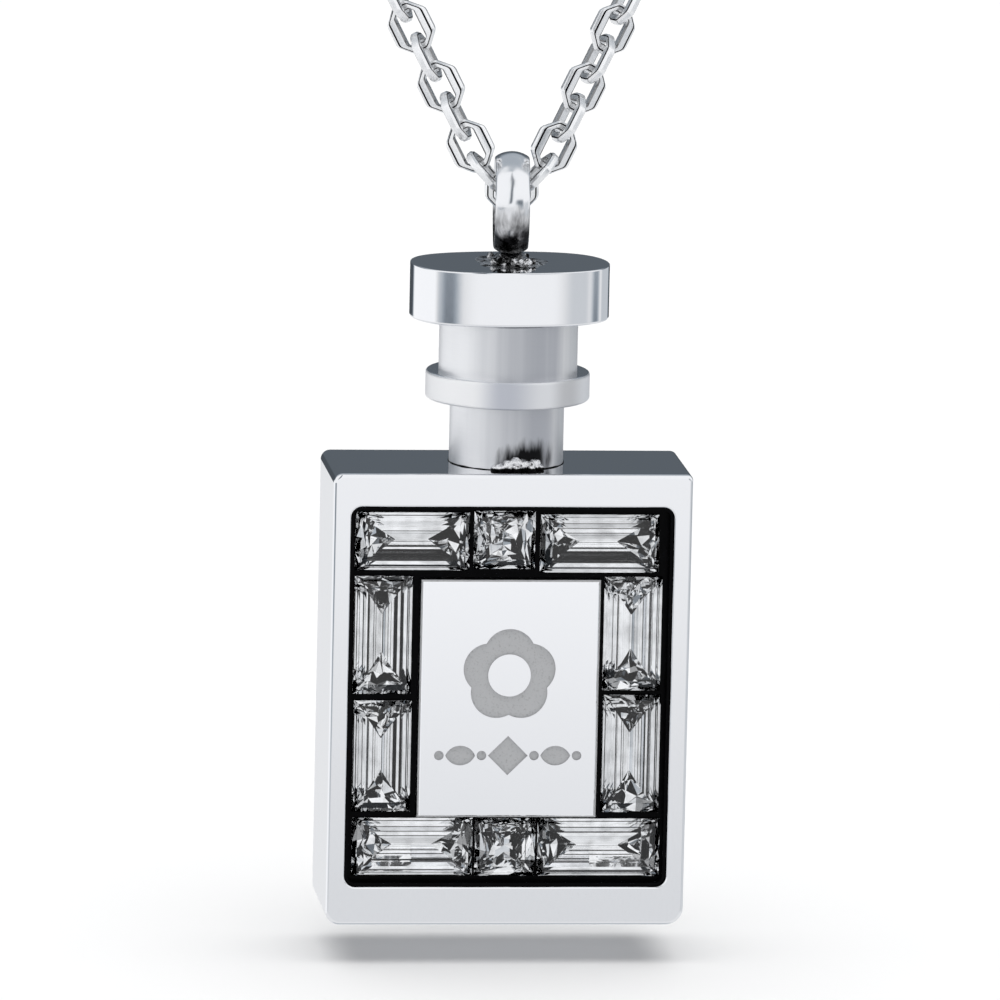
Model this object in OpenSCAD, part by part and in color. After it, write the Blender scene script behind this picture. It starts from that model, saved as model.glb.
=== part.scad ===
/* [Bottle block] */
// Width of the block, side to side
block_w = 18; // [16:0.1:30]
// Height of the block
block_h = 22.9; // [21:0.1:40]
// Depth of the block, front to back
block_d = 8; // [6:0.1:14]
// Radius of the top left corner, seen from the front
corner_top_left = 0.45; // [0.2:0.05:0.9]
// Radius of the top right corner
corner_top_right = 0.3; // [0.2:0.05:0.9]
// Radius of the bottom right corner
corner_bottom_right = 0.85; // [0.2:0.05:0.9]
// Radius of the bottom left corner
corner_bottom_left = 0.7; // [0.2:0.05:0.9]
// Radius of the polished edges round the back
back_edge_r = 0.8; // [0.3:0.1:1.5]
// Radius of the edges round the front
front_edge_r = 0.15; // [0.1:0.01:0.3]

/* [Recess in the front] */
// Width of the frame at each side of the recess
frame_side_w = 0.9; // [0.6:0.05:2]
// Width of the frame over and under the recess, before the recess is moved up
frame_end_w = 1.8; // [1:0.05:2.5]
// Depth of the recess below the front
recess_depth = 2.3; // [2:0.1:3]
// Height of the recess's middle above the block's middle
recess_up = 0.15; // [-0.3:0.05:0.3]
// Radius of the recess's corners
recess_corner_r = 0.55; // [0.2:0.05:0.9]

/* [Centre plate] */
// Width of the channels for stones beside the plate
side_channel_w = 3.6; // [3:0.05:4]
// Height of the channels for stones over and under the plate
end_channel_w = 3.625; // [3:0.025:4]
// How far the plate's face lies below the front
plate_sink = 0.15; // [0.05:0.01:0.3]
// How far the plate's middle lies below the recess's middle
plate_drop = 0.1; // [0:0.05:0.3]
// Bevel round the plate's face
plate_bevel = 0.12; // [0.05:0.01:0.25]
// Depth of the engraving
etch_depth = 0.1; // [0.05:0.01:0.2]

/* [Engraved flower] */
// Radius of each of the five petals
petal_r = 1.3; // [1:0.05:1.5]
// Distance of a petal's middle from the flower's middle
petal_out = 1.06; // [0.8:0.02:1.3]
// Radius of the bright disc in the flower
flower_hole_r = 1.07; // [0.7:0.01:1.2]
// Height of the flower's middle above the plate's middle
flower_up = 1.2; // [0.5:0.05:2]

/* [Engraved border] */
// Space left at the ends of the row of ornament under the flower
border_margin = 0.8; // [0.6:0.1:1.5]
// Height of the lozenge in its middle
border_h = 2; // [1.5:0.1:2.4]
// How far the row's middle lies below the plate's middle
border_down = 2.87; // [2.6:0.01:3.6]
// Space between the ornaments of the row
border_gap = 0.08; // [0.05:0.01:0.12]
// Width of each leaf
leaf_w = 1; // [0.6:0.05:1.4]
// Radius of each dot
dot_r = 0.24; // [0.15:0.01:0.3]

/* [Stones] */
// Depth of a stone from its table to its keel
stone_depth = 1.7; // [1.4:0.05:1.8]
// How far the tables lie below the front
stone_sink = 0.12; // [0.05:0.01:0.25]
// Space left between a stone and its channel's wall
stone_margin = 0.35; // [0.25:0.01:0.5]
// Space left at the ends of the rows over and under the plate
row_margin = 0.29; // [0.2:0.01:0.4]

/* [Black bed] */
// Thickness of the black lining round the recess
lining_t = 0.14; // [0.1:0.01:0.16]
// How far the lining's rim lies below the front
lining_sink = 0.2; // [0.1:0.01:0.4]

/* [Neck] */
// Radius of the lower neck
lower_neck_r = 2.86; // [2.2:0.01:3.4]
// Height of the lower neck
lower_neck_h = 3.2; // [2:0.1:5]
// Radius of the collar
collar_r = 4.11; // [3.7:0.01:4.8]
// Height of the collar
collar_h = 1.4; // [1:0.05:2.5]
// Radius of the upper neck
upper_neck_r = 3.47; // [2.6:0.01:3.6]
// Height of the upper neck
upper_neck_h = 2.67; // [1.5:0.01:4]
// Rounding of the collar's edges
collar_edge_r = 0.15; // [0.05:0.01:0.3]
// Radius of the hidden pegs between the turned pieces
peg_r = 1.4; // [0.8:0.1:2]
// Length of the hidden pegs
peg_l = 1; // [0.5:0.1:1.3]

/* [Cap] */
// Radius of the cap's round sides
cap_r = 4.95; // [4.2:0.01:5.5]
// Distance of the cap's flatter front and back from its middle
cap_flat_out = 3.65; // [3.4:0.01:4]
// Radius of the gentle curve across the front and the back
cap_flat_r = 15; // [12:0.5:30]
// Height of the cap
cap_h = 2.74; // [2:0.01:4]
// Angle by which the cap is turned on the neck
cap_turn = 4; // [-6:0.5:6]

/* [Bail ring] */
// Outer diameter of the ring
ring_d = 5.15; // [4.9:0.05:6]
// Width of the ring's band
ring_w = 1.68; // [1.5:0.01:1.7]
// Thickness of the band in its middle
ring_t = 0.7; // [0.5:0.01:0.75]
// Thickness of the band's blunt edges
ring_edge_t = 0.1; // [0.06:0.01:0.2]
// Height of the ring's underside over the cap
ring_lift = 0.43; // [0.2:0.01:0.6]
// Angle by which the ring is turned on the cap
ring_turn = -4.5; // [-6:0.5:0]

/* [Solder] */
// Radius of the mound of solder on the cap, where it meets the cap
mound_r = 1.75; // [1.2:0.05:2.2]
// Height of the mound
mound_h = 0.75; // [0.65:0.05:1]
// Radius of the beads of solder
bead_r = 0.36; // [0.2:0.01:0.5]

/* [Chain links] */
// Length of a link
link_l = 2.69; // [2.65:0.01:2.8]
// Width of a link
link_w = 2.2; // [2:0.01:2.3]
// Thickness of a link
link_t = 0.45; // [0.4:0.01:0.48]
// Width of the metal at a link's ends
link_end = 0.46; // [0.4:0.01:0.48]
// Width of the metal at a link's sides
link_side_w = 0.58; // [0.45:0.01:0.6]
// Cut across a link's outer corners
link_cut = 0.75; // [0.7:0.01:0.78]
// Cut across the corners of a link's opening
link_hole_cut = 0.15; // [0.1:0.01:0.2]
// Gap between two links that hang in each other
link_gap = 0.12; // [0.1:0.01:0.14]
// Turn of the links about the strand
link_roll = 18; // [0:1:25]

/* [Strands] */
// Number of links in each strand of the front stretch
front_links = 10; // [4:1:12]
// Lean of the strands outwards from upright
lean_out = 27; // [15:0.1:30]
// Lean of the strands backwards
lean_back = 10.9; // [0:0.1:20]
// Lean outwards of the first link of each strand
first_lean_out = 43.5; // [43:0.1:44]
// Lean backwards of the first link of each strand
first_lean_back = 5; // [0:0.5:8]
// Extra gap where the strand bends between its first and second links
first_slack = 0.06; // [0.05:0.01:0.08]
// How far the first links hang from the middle link's middle
first_out = 0.5; // [0.49:0.005:0.51]
// Height of the middle link over the ring's middle
hang_up = 0.65; // [0.63:0.01:0.68]
// Diameter of the hidden stretch of the chain
strand_d = 1.7; // [1.4:0.1:2]

/* [Clasp] */
// Length of the clasp's barrel
clasp_l = 10; // [6:0.5:16]
// Diameter of the barrel
clasp_d = 3.4; // [2.4:0.1:5]
// Diameter of the grooves near the barrel's ends
clasp_groove_d = 2.8; // [2:0.1:3.2]
// Distance of each groove from the barrel's end
clasp_groove_in = 1.2; // [0.8:0.1:2]
// Width of the grooves
clasp_groove_w = 0.5; // [0.3:0.1:1]

/* [Clearances] */
// Gap between pieces that seat on each other
seat_gap = 0.03; // [0.02:0.01:0.06]
// Gap round a stone in its pocket
pocket_gap = 0.05; // [0.03:0.01:0.1]

/* [Hidden] */

// Overshoot of every cut past the face that it opens
cut = 1;

// The middle of the middle link, which the pendant swings on, from the nape of the neck
hang_point = [0, -116, -126];

// Half of the hidden stretch, from the front up over the collar bone and round to the nape.
// The other half is its mirror image.
ROUTE = [
    [22.2, -107.5, -85.7],
    [40.4, -100, -52],
    [48, -89, -27],
    [55, -78, -12],
    [58, -62, -2],
    [57, -45, 3],
    [51, -29, 4],
    [39, -14, 3],
    [22, -4, 1],
    [0, 0, 0],
];
// Rings of the hidden stretch between two points of its route
route_steps = 4;
tube_sides = 8;

// Each stone's place. Side is the channel it lies in. Along and length are shares of half
// the row, and drift is how far the setter's hand moved it across, as a share of the margin.
SIDE = 0; ALONG = 1; LENGTH = 2; DRIFT = 3; TURN = 4;
STONES = [
    // side, along, length, drift, turn
    ["top", -0.634, 0.732, -0.1, 0],
    ["top", -0.044, 0.393, 0.15, 0],
    ["top", 0.567, 0.763, -0.35, 0],
    ["left", 0.525, 0.99, -0.15, 0],
    ["left", -0.496, 0.936, 0.05, 0],
    ["right", 0.539, 0.956, -0.35, 0],
    ["right", -0.473, 0.99, -0.2, 0],
    ["bottom", -0.597, 0.776, 0.4, 0],
    ["bottom", 0, 0.389, 0.35, 0],
    ["bottom", 0.603, 0.788, 0.3, 0],
];
// The steps of a stone's facets from its table to its keel, as shares of its width and depth
INSET = 0; DOWN = 1;
STEPS = [
    // inset, down
    [0.19, 0],
    [0.08, 0.12],
    [0, 0.28],
    [0, 0.34],
    [0.22, 0.68],
    [0.5, 1],
];
girdle_step = 3;

// Beads of solder at the foot of the lower neck: angle from the front in degrees, then the
// size and the height of each as shares of the bead's radius
FOOT_BEADS = [
    // angle, size, height
    [-16, 0.7, 0.2],
    [-8, 1, 0.4],
    [3, 0.85, 0.7],
    [12, 1.05, 0.5],
    [24, 0.9, 0.6],
];
// Beads round the ring's foot: angle, distance as a share of the mound's radius, size, height
MOUND_BEADS = [
    // angle, out, size, height
    [20, 0.8, 1.1, 0.4],
    [75, 0.7, 0.9, 0.5],
    [140, 0.75, 1, 0.4],
    [205, 0.8, 1.2, 0.4],
    [250, 0.95, 0.8, 0.5],
    [285, 0.85, 1.1, 0.6],
    [325, 0.8, 1, 0.6],
];

// Levels up the bottle from the block's middle
neck_z = block_h / 2;
collar_z = neck_z + lower_neck_h + seat_gap;
upper_neck_z = collar_z + collar_h;
cap_z = upper_neck_z + upper_neck_h + seat_gap;
cap_top_z = cap_z + cap_h;
ring_r = ring_d / 2;
ring_z = cap_top_z + ring_lift + ring_r;
mid_y = block_d / 2;

// The recess, and the plate between its channels
recess_w = block_w - 2 * frame_side_w;
recess_h = block_h - 2 * frame_end_w;
plate_w = recess_w - 2 * side_channel_w;
plate_h = recess_h - 2 * end_channel_w;

// The two arcs of the ring's section
dome_rise = (ring_t - ring_edge_t) / 2;
dome_r = (pow(ring_w / 2, 2) + pow(dome_rise, 2)) / (2 * dome_rise);
ring_mid_r = ring_r - ring_t / 2;

// Channels for the stones
plate_z = recess_up - plate_drop;
row_half = recess_w / 2 - row_margin;
column_half = plate_h / 2;
bed_top = stone_sink + stone_depth * STEPS[girdle_step][DOWN] + pocket_gap;
bed_bottom = recess_depth - seat_gap;

// Links
link_reach = (link_l - link_end) / 2;
link_pitch = 2 * link_reach - link_end - link_gap;

function turned(v, a) = [v.x * cos(a) - v.y * sin(a), v.x * sin(a) + v.y * cos(a), v.z];
function lean(out, back) = [cos(back) * sin(out), sin(back), cos(back) * cos(out)];
function to_side(v, side) = [side * v.x, v.y, v.z];
function unit(v) = v / norm(v);

// Middles of the links of one strand, from the hinge. The first leans by itself.
function first_direction(side) = turned(
    to_side(lean(first_lean_out, first_lean_back), side), ring_turn);
function first_bar(side) = turned([side * first_out, 0, 0], ring_turn);
function strand_direction(side) = to_side(lean(lean_out, lean_back), side);
function second_bar(side) = first_bar(side) + first_direction(side) * (link_pitch - first_slack);
function link_middle(side, k) = k == 1
    ? first_bar(side) + first_direction(side) * link_reach
    : second_bar(side) + strand_direction(side) * (link_reach + link_pitch * (k - 2));
function strand_end(side) = link_middle(side, front_links)
    + strand_direction(side) * (link_l / 2 + link_gap);

// Smooth curve through four points, at share t between the middle two
function smooth(a, b, c, d, t) = (2 * b + (c - a) * t + (2 * a - 5 * b + 4 * c - d) * t * t
    + (3 * b - a - 3 * c + d) * t * t * t) / 2;
function route_points(side) = concat([hang_point + strand_end(side)],
    [for (p = ROUTE) to_side(p, side)]);
// The same points with one more before the first and one after the last
function route_padded(side) = let (p = route_points(side), n = len(p))
    concat([2 * p[0] - p[1]], p, [to_side(p[n - 2], -1)]);
function route_curve(side) = let (p = route_padded(side), n = len(p)) concat(
    [for (i = [1 : n - 3], s = [0 : route_steps - 1])
        if (i < n - 3 || s < route_steps - 1)
            smooth(p[i - 1], p[i], p[i + 1], p[i + 2], s / route_steps)],
    [[side * (clasp_l / 2 + link_gap), 0, 0]]);

// Rectangle round the origin with its own radius at each corner, named as seen from the front
module rounded_rectangle(w, h, top_left, top_right, bottom_right, bottom_left) {
    corners = [[-1, 1, top_left], [1, 1, top_right], [1, -1, bottom_right], [-1, -1, bottom_left]];
    difference() {
        square([w, h], center = true);
        for (c = corners)
            translate([c.x * (w / 2 - c.z), c.y * (h / 2 - c.z)])
                corner_cut(c.z, c.x, c.y);
    }
}

// What a round corner takes off a square one
module corner_cut(r, x_side, y_side) {
    difference() {
        translate([x_side > 0 ? 0 : -r - cut, y_side > 0 ? 0 : -r - cut]) square(r + cut);
        circle(r = r, $fn = 48);
    }
}

// A shape drawn as seen from the front, carried from one depth to another
module from_front(near, far) {
    translate([0, far, 0]) rotate([90, 0, 0]) linear_extrude(height = far - near) children();
}

// Moves a piece of the pendant from the bottle's own frame to where it hangs
module hung() {
    translate(hang_point - [0, mid_y, ring_z + hang_up]) children();
}

module block() {
    intersection() {
        from_front(0, block_d)
            rounded_rectangle(block_w, block_h, corner_top_left, corner_top_right,
                corner_bottom_right, corner_bottom_left);
        translate([0, mid_y, -block_h / 2])
            linear_extrude(height = block_h)
                rounded_rectangle(block_w, block_d, back_edge_r, back_edge_r,
                    front_edge_r, front_edge_r);
        translate([-block_w / 2, mid_y, 0])
            rotate([90, 0, 90]) linear_extrude(height = block_w)
                rounded_rectangle(block_d, block_h, front_edge_r, back_edge_r,
                    back_edge_r, front_edge_r);
    }
}

module recess() {
    translate([0, 0, recess_up]) from_front(-cut, recess_depth)
        rounded_rectangle(recess_w, recess_h, recess_corner_r, recess_corner_r,
            recess_corner_r, recess_corner_r);
}

// The beads of solder where the neck meets the block
module foot_beads() {
    for (b = FOOT_BEADS)
        translate([0, mid_y, neck_z + bead_r * b[2]])
            rotate([0, 0, b[0]])
                translate([0, -lower_neck_r - bead_r / 4, 0])
                    sphere(r = bead_r * b[1], $fn = 24);
}

module bottle_body() {
    color("silver") hung() union() {
        difference() {
            block();
            recess();
        }
        translate([0, mid_y, neck_z - cut]) cylinder(r = lower_neck_r, h = lower_neck_h + cut, $fn = 64);
        translate([0, mid_y, neck_z]) cylinder(r = peg_r, h = lower_neck_h + peg_l, $fn = 48);
        foot_beads();
    }
}

// The collar's outline from its axis, with round edges
module collar_section() {
    translate([0, collar_edge_r]) square([collar_r, collar_h - 2 * collar_edge_r]);
    square([collar_r - collar_edge_r, collar_h]);
    for (z = [collar_edge_r, collar_h - collar_edge_r])
        translate([collar_r - collar_edge_r, z]) circle(r = collar_edge_r, $fn = 32);
}

module neck_collar() {
    color("gainsboro") hung() translate([0, mid_y, collar_z]) difference() {
        union() {
            rotate_extrude($fn = 64) collar_section();
            cylinder(r = upper_neck_r, h = collar_h + upper_neck_h, $fn = 64);
            cylinder(r = peg_r, h = collar_h + upper_neck_h + peg_l, $fn = 48);
        }
        translate([0, 0, -cut])
            cylinder(r = peg_r + seat_gap, h = cut + peg_l, $fn = 48);
    }
}

// The cap: a disc with a flatter front and back
module cap_disc() {
    rotate([0, 0, cap_turn]) linear_extrude(height = cap_h) intersection() {
        circle(r = cap_r, $fn = 96);
        translate([0, cap_flat_r - cap_flat_out]) circle(r = cap_flat_r, $fn = 96);
        translate([0, cap_flat_out - cap_flat_r]) circle(r = cap_flat_r, $fn = 96);
    }
}

// Section of the ring's band: two shallow arcs with blunt edges
module ring_section() {
    intersection() {
        translate([ring_mid_r + ring_t / 2 - dome_r, 0]) circle(r = dome_r, $fn = 96);
        translate([ring_mid_r - ring_t / 2 + dome_r, 0]) circle(r = dome_r, $fn = 96);
        translate([ring_mid_r - ring_t / 2, -ring_w / 2]) square([ring_t, ring_w]);
    }
}

module bail_ring() {
    rotate([0, 0, ring_turn]) rotate([0, 90, 0]) rotate_extrude($fn = 96) ring_section();
}

// The solder that holds the ring on the cap: a low mound and the beads round it
module mound() {
    mound_sphere_r = (pow(mound_r, 2) + pow(mound_h, 2)) / (2 * mound_h);
    difference() {
        translate([0, 0, mound_h - mound_sphere_r]) sphere(r = mound_sphere_r, $fn = 64);
        translate([0, 0, -cap_h / 2 - 2 * mound_sphere_r])
            cylinder(r = 2 * mound_sphere_r, h = 2 * mound_sphere_r);
    }
    for (b = MOUND_BEADS)
        rotate([0, 0, b[0]])
            translate([mound_r * b[1], 0, bead_r * b[3] * b[2]])
                sphere(r = bead_r * b[2], $fn = 24);
}

module cap_with_bail() {
    color("gainsboro") hung() union() {
        translate([0, mid_y, cap_z]) difference() {
            cap_disc();
            translate([0, 0, -cut]) cylinder(r = peg_r + seat_gap, h = cut + peg_l, $fn = 48);
        }
        translate([0, mid_y, cap_top_z]) mound();
        translate([0, mid_y, ring_z]) bail_ring();
    }
}

// A stone's outline along one of its sides. Its facets step in by shares of the shorter side, and
// grow makes the pocket that it lies in.
function facet_outline(half, shorter, grow) = concat(
    [for (s = STEPS) [-(half - s[INSET] * shorter) - grow, s[DOWN] * (stone_depth + grow)]],
    [for (i = [len(STEPS) - 1 : -1 : 0])
        [half - STEPS[i][INSET] * shorter + grow, STEPS[i][DOWN] * (stone_depth + grow)]]);

module stone_shape(length, width, grow) {
    shorter = min(length, width);
    intersection() {
        translate([0, 0, -width]) linear_extrude(height = 2 * width)
            polygon(facet_outline(length / 2, shorter, grow));
        rotate([0, 90, 0]) translate([0, 0, -length])
            linear_extrude(height = 2 * length)
                polygon(facet_outline(width / 2, shorter, grow));
    }
}

// Puts a stone, or its pocket, in its place in the channel
module stone_place(s, grow) {
    in_row = s[SIDE] == "top" || s[SIDE] == "bottom";
    sign = s[SIDE] == "top" || s[SIDE] == "right" ? 1 : -1;
    half = in_row ? row_half : column_half;
    width = (in_row ? end_channel_w : side_channel_w) - 2 * stone_margin;
    across = sign * (in_row ? plate_h + end_channel_w : plate_w + side_channel_w) / 2
        + s[DRIFT] * stone_margin;
    place = in_row ? [s[ALONG] * half, stone_sink, recess_up + across]
        : [across, stone_sink, plate_z + s[ALONG] * half];
    translate(place) rotate([0, (in_row ? 0 : 90) + s[TURN], 0])
        stone_shape(s[LENGTH] * half, width, grow);
}

module stone(i) {
    color("white") hung() stone_place(STONES[i], 0);
}

// The black lining of the recess: a bed with a pocket under each stone and a thin wall round it
module enamel_bed() {
    inner_w = recess_w - 2 * (seat_gap + lining_t);
    inner_h = recess_h - 2 * (seat_gap + lining_t);
    outer_r = recess_corner_r - seat_gap;
    inner_r = outer_r - lining_t;
    color("black") hung() difference() {
        translate([0, 0, recess_up]) from_front(lining_sink, bed_bottom)
            rounded_rectangle(recess_w - 2 * seat_gap, recess_h - 2 * seat_gap,
                outer_r, outer_r, outer_r, outer_r);
        translate([0, 0, recess_up]) from_front(-cut, bed_top)
            rounded_rectangle(inner_w, inner_h, inner_r, inner_r, inner_r, inner_r);
        translate([0, 0, plate_z]) from_front(-cut, recess_depth + cut)
            square([plate_w + 2 * seat_gap, plate_h + 2 * seat_gap], center = true);
        for (s = STONES) stone_place(s, pocket_gap);
    }
}

module flower() {
    difference() {
        union() {
            circle(r = petal_out, $fn = 48);
            for (a = [0 : 72 : 288])
                rotate(a) translate([0, petal_out]) circle(r = petal_r, $fn = 48);
        }
        circle(r = flower_hole_r, $fn = 48);
    }
}

// A leaf with two pointed ends, where two circles cross
module leaf(leaf_l) {
    leaf_arc_r = (pow(leaf_l / 2, 2) + pow(leaf_w / 2, 2)) / leaf_w;
    intersection() {
        translate([0, leaf_arc_r - leaf_w / 2]) circle(r = leaf_arc_r, $fn = 96);
        translate([0, leaf_w / 2 - leaf_arc_r]) circle(r = leaf_arc_r, $fn = 96);
    }
}

// A lozenge with a dot, a leaf and a dot on each side
module border() {
    half = plate_w / 2 - border_margin;
    dot_d = 2 * dot_r;
    leaf_l = half - border_h / 2 - 2 * dot_d - 3 * border_gap;
    polygon([[0, border_h / 2], [border_h / 2, 0], [0, -border_h / 2], [-border_h / 2, 0]]);
    for (side = [-1, 1]) {
        translate([side * (border_h / 2 + border_gap + dot_r), 0]) circle(r = dot_r, $fn = 32);
        translate([side * (half - dot_d - border_gap - leaf_l / 2), 0]) leaf(leaf_l);
        translate([side * (half - dot_r), 0]) circle(r = dot_r, $fn = 32);
    }
}

module centre_plate() {
    color("whitesmoke") hung() translate([0, 0, plate_z]) difference() {
        plate_blank();
        from_front(-cut, plate_sink + etch_depth) {
            translate([0, flower_up]) flower();
            translate([0, -border_down]) border();
        }
    }
}

// The plate before it is engraved, with a bevel all round its face
module plate_blank() {
    intersection() {
        from_front(plate_sink, bed_bottom) square([plate_w, plate_h], center = true);
        translate([0, 0, -plate_h / 2]) linear_extrude(height = plate_h)
            bevel_outline(plate_w / 2);
        rotate([0, 90, 0]) translate([0, 0, -plate_w / 2]) linear_extrude(height = plate_w)
            bevel_outline(plate_h / 2);
    }
}

module bevel_outline(half) {
    polygon([
        [-half + plate_bevel, plate_sink], [half - plate_bevel, plate_sink],
        [half, plate_sink + plate_bevel], [half, bed_bottom],
        [-half, bed_bottom], [-half, plate_sink + plate_bevel],
    ]);
}

// Rectangle with its corners cut off, for a link's outside and its opening
function cut_rectangle(w, h, c) = [
    [w / 2 - c, h / 2], [w / 2, h / 2 - c], [w / 2, c - h / 2], [w / 2 - c, -h / 2],
    [c - w / 2, -h / 2], [-w / 2, c - h / 2], [-w / 2, h / 2 - c], [c - w / 2, h / 2],
];

// A link round the origin, its length upright and its face to the front
module link() {
    rotate([90, 0, 0]) translate([0, 0, -link_t / 2]) linear_extrude(height = link_t) difference() {
        polygon(cut_rectangle(link_w, link_l, link_cut));
        polygon(cut_rectangle(link_w - 2 * link_side_w, link_l - 2 * link_end, link_hole_cut));
    }
}

// Every other link stands edge on. The strand's turn comes in over the first three links.
module strand(side) {
    for (k = [1 : front_links]) {
        roll = side * link_roll * min(k, 3) / 3 + (k % 2 == 1 ? 90 : 0);
        out = k == 1 ? first_lean_out : lean_out;
        back = k == 1 ? first_lean_back : lean_back;
        yaw = k == 1 ? ring_turn : 0;
        translate(link_middle(side, k))
            rotate([0, 0, yaw]) rotate([-back, side * out, 0]) rotate([0, 0, roll]) link();
    }
}

module chain_front() {
    color("silver") translate(hang_point) {
        rotate([0, 0, ring_turn]) rotate([0, 90, 0]) link();
        strand(-1);
        strand(1);
    }
}

// Tube through the points of a curve, closed at both ends
module tube(points, d) {
    n = len(points);
    up = [0, 0, 1];
    corners = [for (i = [0 : n - 1])
        let (along = unit(points[min(i + 1, n - 1)] - points[max(i - 1, 0)]),
            across = unit(cross(up, along)), over = cross(along, across))
            for (j = [0 : tube_sides - 1])
                let (a = 360 * (j + 0.5) / tube_sides)
                    points[i] + (across * cos(a) + over * sin(a)) * d / 2];
    walls = [for (i = [0 : n - 2], j = [0 : tube_sides - 1])
        let (k = (j + 1) % tube_sides, a = i * tube_sides, b = a + tube_sides)
            [a + j, b + j, b + k, a + k]];
    near_end = [for (j = [0 : tube_sides - 1]) j];
    far_end = [for (j = [tube_sides - 1 : -1 : 0]) (n - 1) * tube_sides + j];
    polyhedron(points = corners, faces = concat(walls, [near_end, far_end]), convexity = 4);
}

module chain_rest() {
    color("darkgray") for (side = [-1, 1]) tube(route_curve(side), strand_d);
}

// A plain barrel with a groove near each end
module clasp() {
    color("silver") rotate([0, 90, 0]) difference() {
        translate([0, 0, -clasp_l / 2]) cylinder(d = clasp_d, h = clasp_l, $fn = 48);
        for (end = [-1, 1])
            translate([0, 0, end * (clasp_l / 2 - clasp_groove_in) - clasp_groove_w / 2])
                difference() {
                    cylinder(d = clasp_d + cut, h = clasp_groove_w, $fn = 48);
                    cylinder(d = clasp_groove_d, h = clasp_groove_w, $fn = 48);
                }
    }
}

bottle_body();
neck_collar();
cap_with_bail();
enamel_bed();
centre_plate();
stone(0);  // stone_top_left
stone(1);  // stone_top_middle
stone(2);  // stone_top_right
stone(3);  // stone_left_upper
stone(4);  // stone_left_lower
stone(5);  // stone_right_upper
stone(6);  // stone_right_lower
stone(7);  // stone_bottom_left
stone(8);  // stone_bottom_middle
stone(9);  // stone_bottom_right
chain_front();
chain_rest();
clasp();
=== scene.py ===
"""A bottle pendant with channel-set stones round an engraved plate, hung on its chain."""

import math

import bpy
import numpy as np
from bpy.props import FloatProperty, FloatVectorProperty, IntProperty, PointerProperty
from mathutils import Matrix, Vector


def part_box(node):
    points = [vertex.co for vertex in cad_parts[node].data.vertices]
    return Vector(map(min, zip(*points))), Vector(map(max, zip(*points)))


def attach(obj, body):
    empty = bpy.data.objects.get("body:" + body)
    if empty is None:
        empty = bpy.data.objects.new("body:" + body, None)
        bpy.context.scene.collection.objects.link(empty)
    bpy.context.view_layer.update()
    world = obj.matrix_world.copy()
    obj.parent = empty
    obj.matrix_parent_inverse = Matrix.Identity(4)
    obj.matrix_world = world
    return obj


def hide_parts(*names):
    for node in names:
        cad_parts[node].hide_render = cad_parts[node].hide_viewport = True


bl_info = {
    "name": "Bottle Pendant",
    "version": (1, 0, 0),
    "blender": (4, 5, 0),
    "location": "View3D > Sidebar > Pendant",
    "description": "Builds the visible pieces of a bottle pendant on its packed model",
    "category": "Object",
}

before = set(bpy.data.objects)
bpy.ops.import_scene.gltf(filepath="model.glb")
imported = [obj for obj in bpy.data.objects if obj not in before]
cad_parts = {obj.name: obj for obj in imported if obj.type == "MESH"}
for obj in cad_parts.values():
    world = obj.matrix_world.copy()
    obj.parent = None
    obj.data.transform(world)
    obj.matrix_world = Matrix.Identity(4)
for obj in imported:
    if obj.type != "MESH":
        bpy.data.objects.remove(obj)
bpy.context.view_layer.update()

MM = 0.001
BODY_LOW = np.array(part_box("bottle_body")[0]) / MM
BODY_HIGH = np.array(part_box("bottle_body")[1]) / MM
HANG_POINT = np.array([0.0, -116.0, -126.0])
RING_TURN = math.radians(-4.5)
CAP_TURN = math.radians(4)


# Settings


def size_property(name, description, default):
    """A size that a user may change, with its default in millimetres."""
    return FloatProperty(
        name=name, description=description, default=default * MM, subtype="DISTANCE", unit="LENGTH"
    )


def colour_property(name, description, default):
    """A colour that a user may change."""
    return FloatVectorProperty(
        name=name, description=description, default=default, subtype="COLOR", size=3, min=0, max=1
    )


class BottleSettings(bpy.types.PropertyGroup):
    """Sizes of the bottle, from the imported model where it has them."""

    width: size_property("Width", "Width of the block, side to side", BODY_HIGH[0] - BODY_LOW[0])
    height: size_property("Height", "Height of the block", 22.9)
    depth: size_property("Depth", "Depth of the block, front to back", BODY_HIGH[1] - BODY_LOW[1])
    front_edge: size_property("Front edge", "Radius of the edges round the front", 0.2)
    back_edge: size_property("Back edge", "Radius of the edges round the back", 0.8)
    ring_width: size_property("Ring width", "Width of the bail ring's band", 1.72)


class FinishSettings(bpy.types.PropertyGroup):
    """Colours of the pendant's finishes."""

    steel: colour_property("Steel", "Colour of the polished steel", (0.9, 0.905, 0.92))
    satin: colour_property("Satin steel", "Colour of the turned necks", (0.95, 0.955, 0.965))
    etched: colour_property("Etched steel", "Colour of the engraved ornament", (0.53, 0.535, 0.545))
    enamel: colour_property("Enamel", "Colour of the bed under the stones", (0.0012, 0.0012, 0.0016))
    floor: colour_property("Floor", "Colour of the floor", (0.93, 0.93, 0.93))


class ChainSettings(bpy.types.PropertyGroup):
    """Sizes of the chain's links."""

    link_length: size_property("Link length", "Length of a link", 2.69)
    link_width: size_property("Link width", "Width of a link", 2.2)
    link_thickness: size_property("Link thickness", "Thickness of a link", 0.45)
    front_links: IntProperty(
        name="Front links", description="Links in each strand of the front stretch", default=10, min=4, max=12
    )


# Surfaces


def unit(v):
    """The vectors, each divided by its length."""
    return v / np.linalg.norm(v, axis=-1, keepdims=True)


def turn(axis, a):
    """Matrix of a turn about X, Y or Z, which are 0, 1 and 2, or one for each angle."""
    i, j = (axis + 1) % 3, (axis + 2) % 3
    matrix = np.zeros((*np.shape(a), 3, 3))
    matrix[..., axis, axis] = 1
    matrix[..., i, i] = matrix[..., j, j] = np.cos(a)
    matrix[..., j, i] = np.sin(a)
    matrix[..., i, j] = -np.sin(a)
    return matrix


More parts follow.
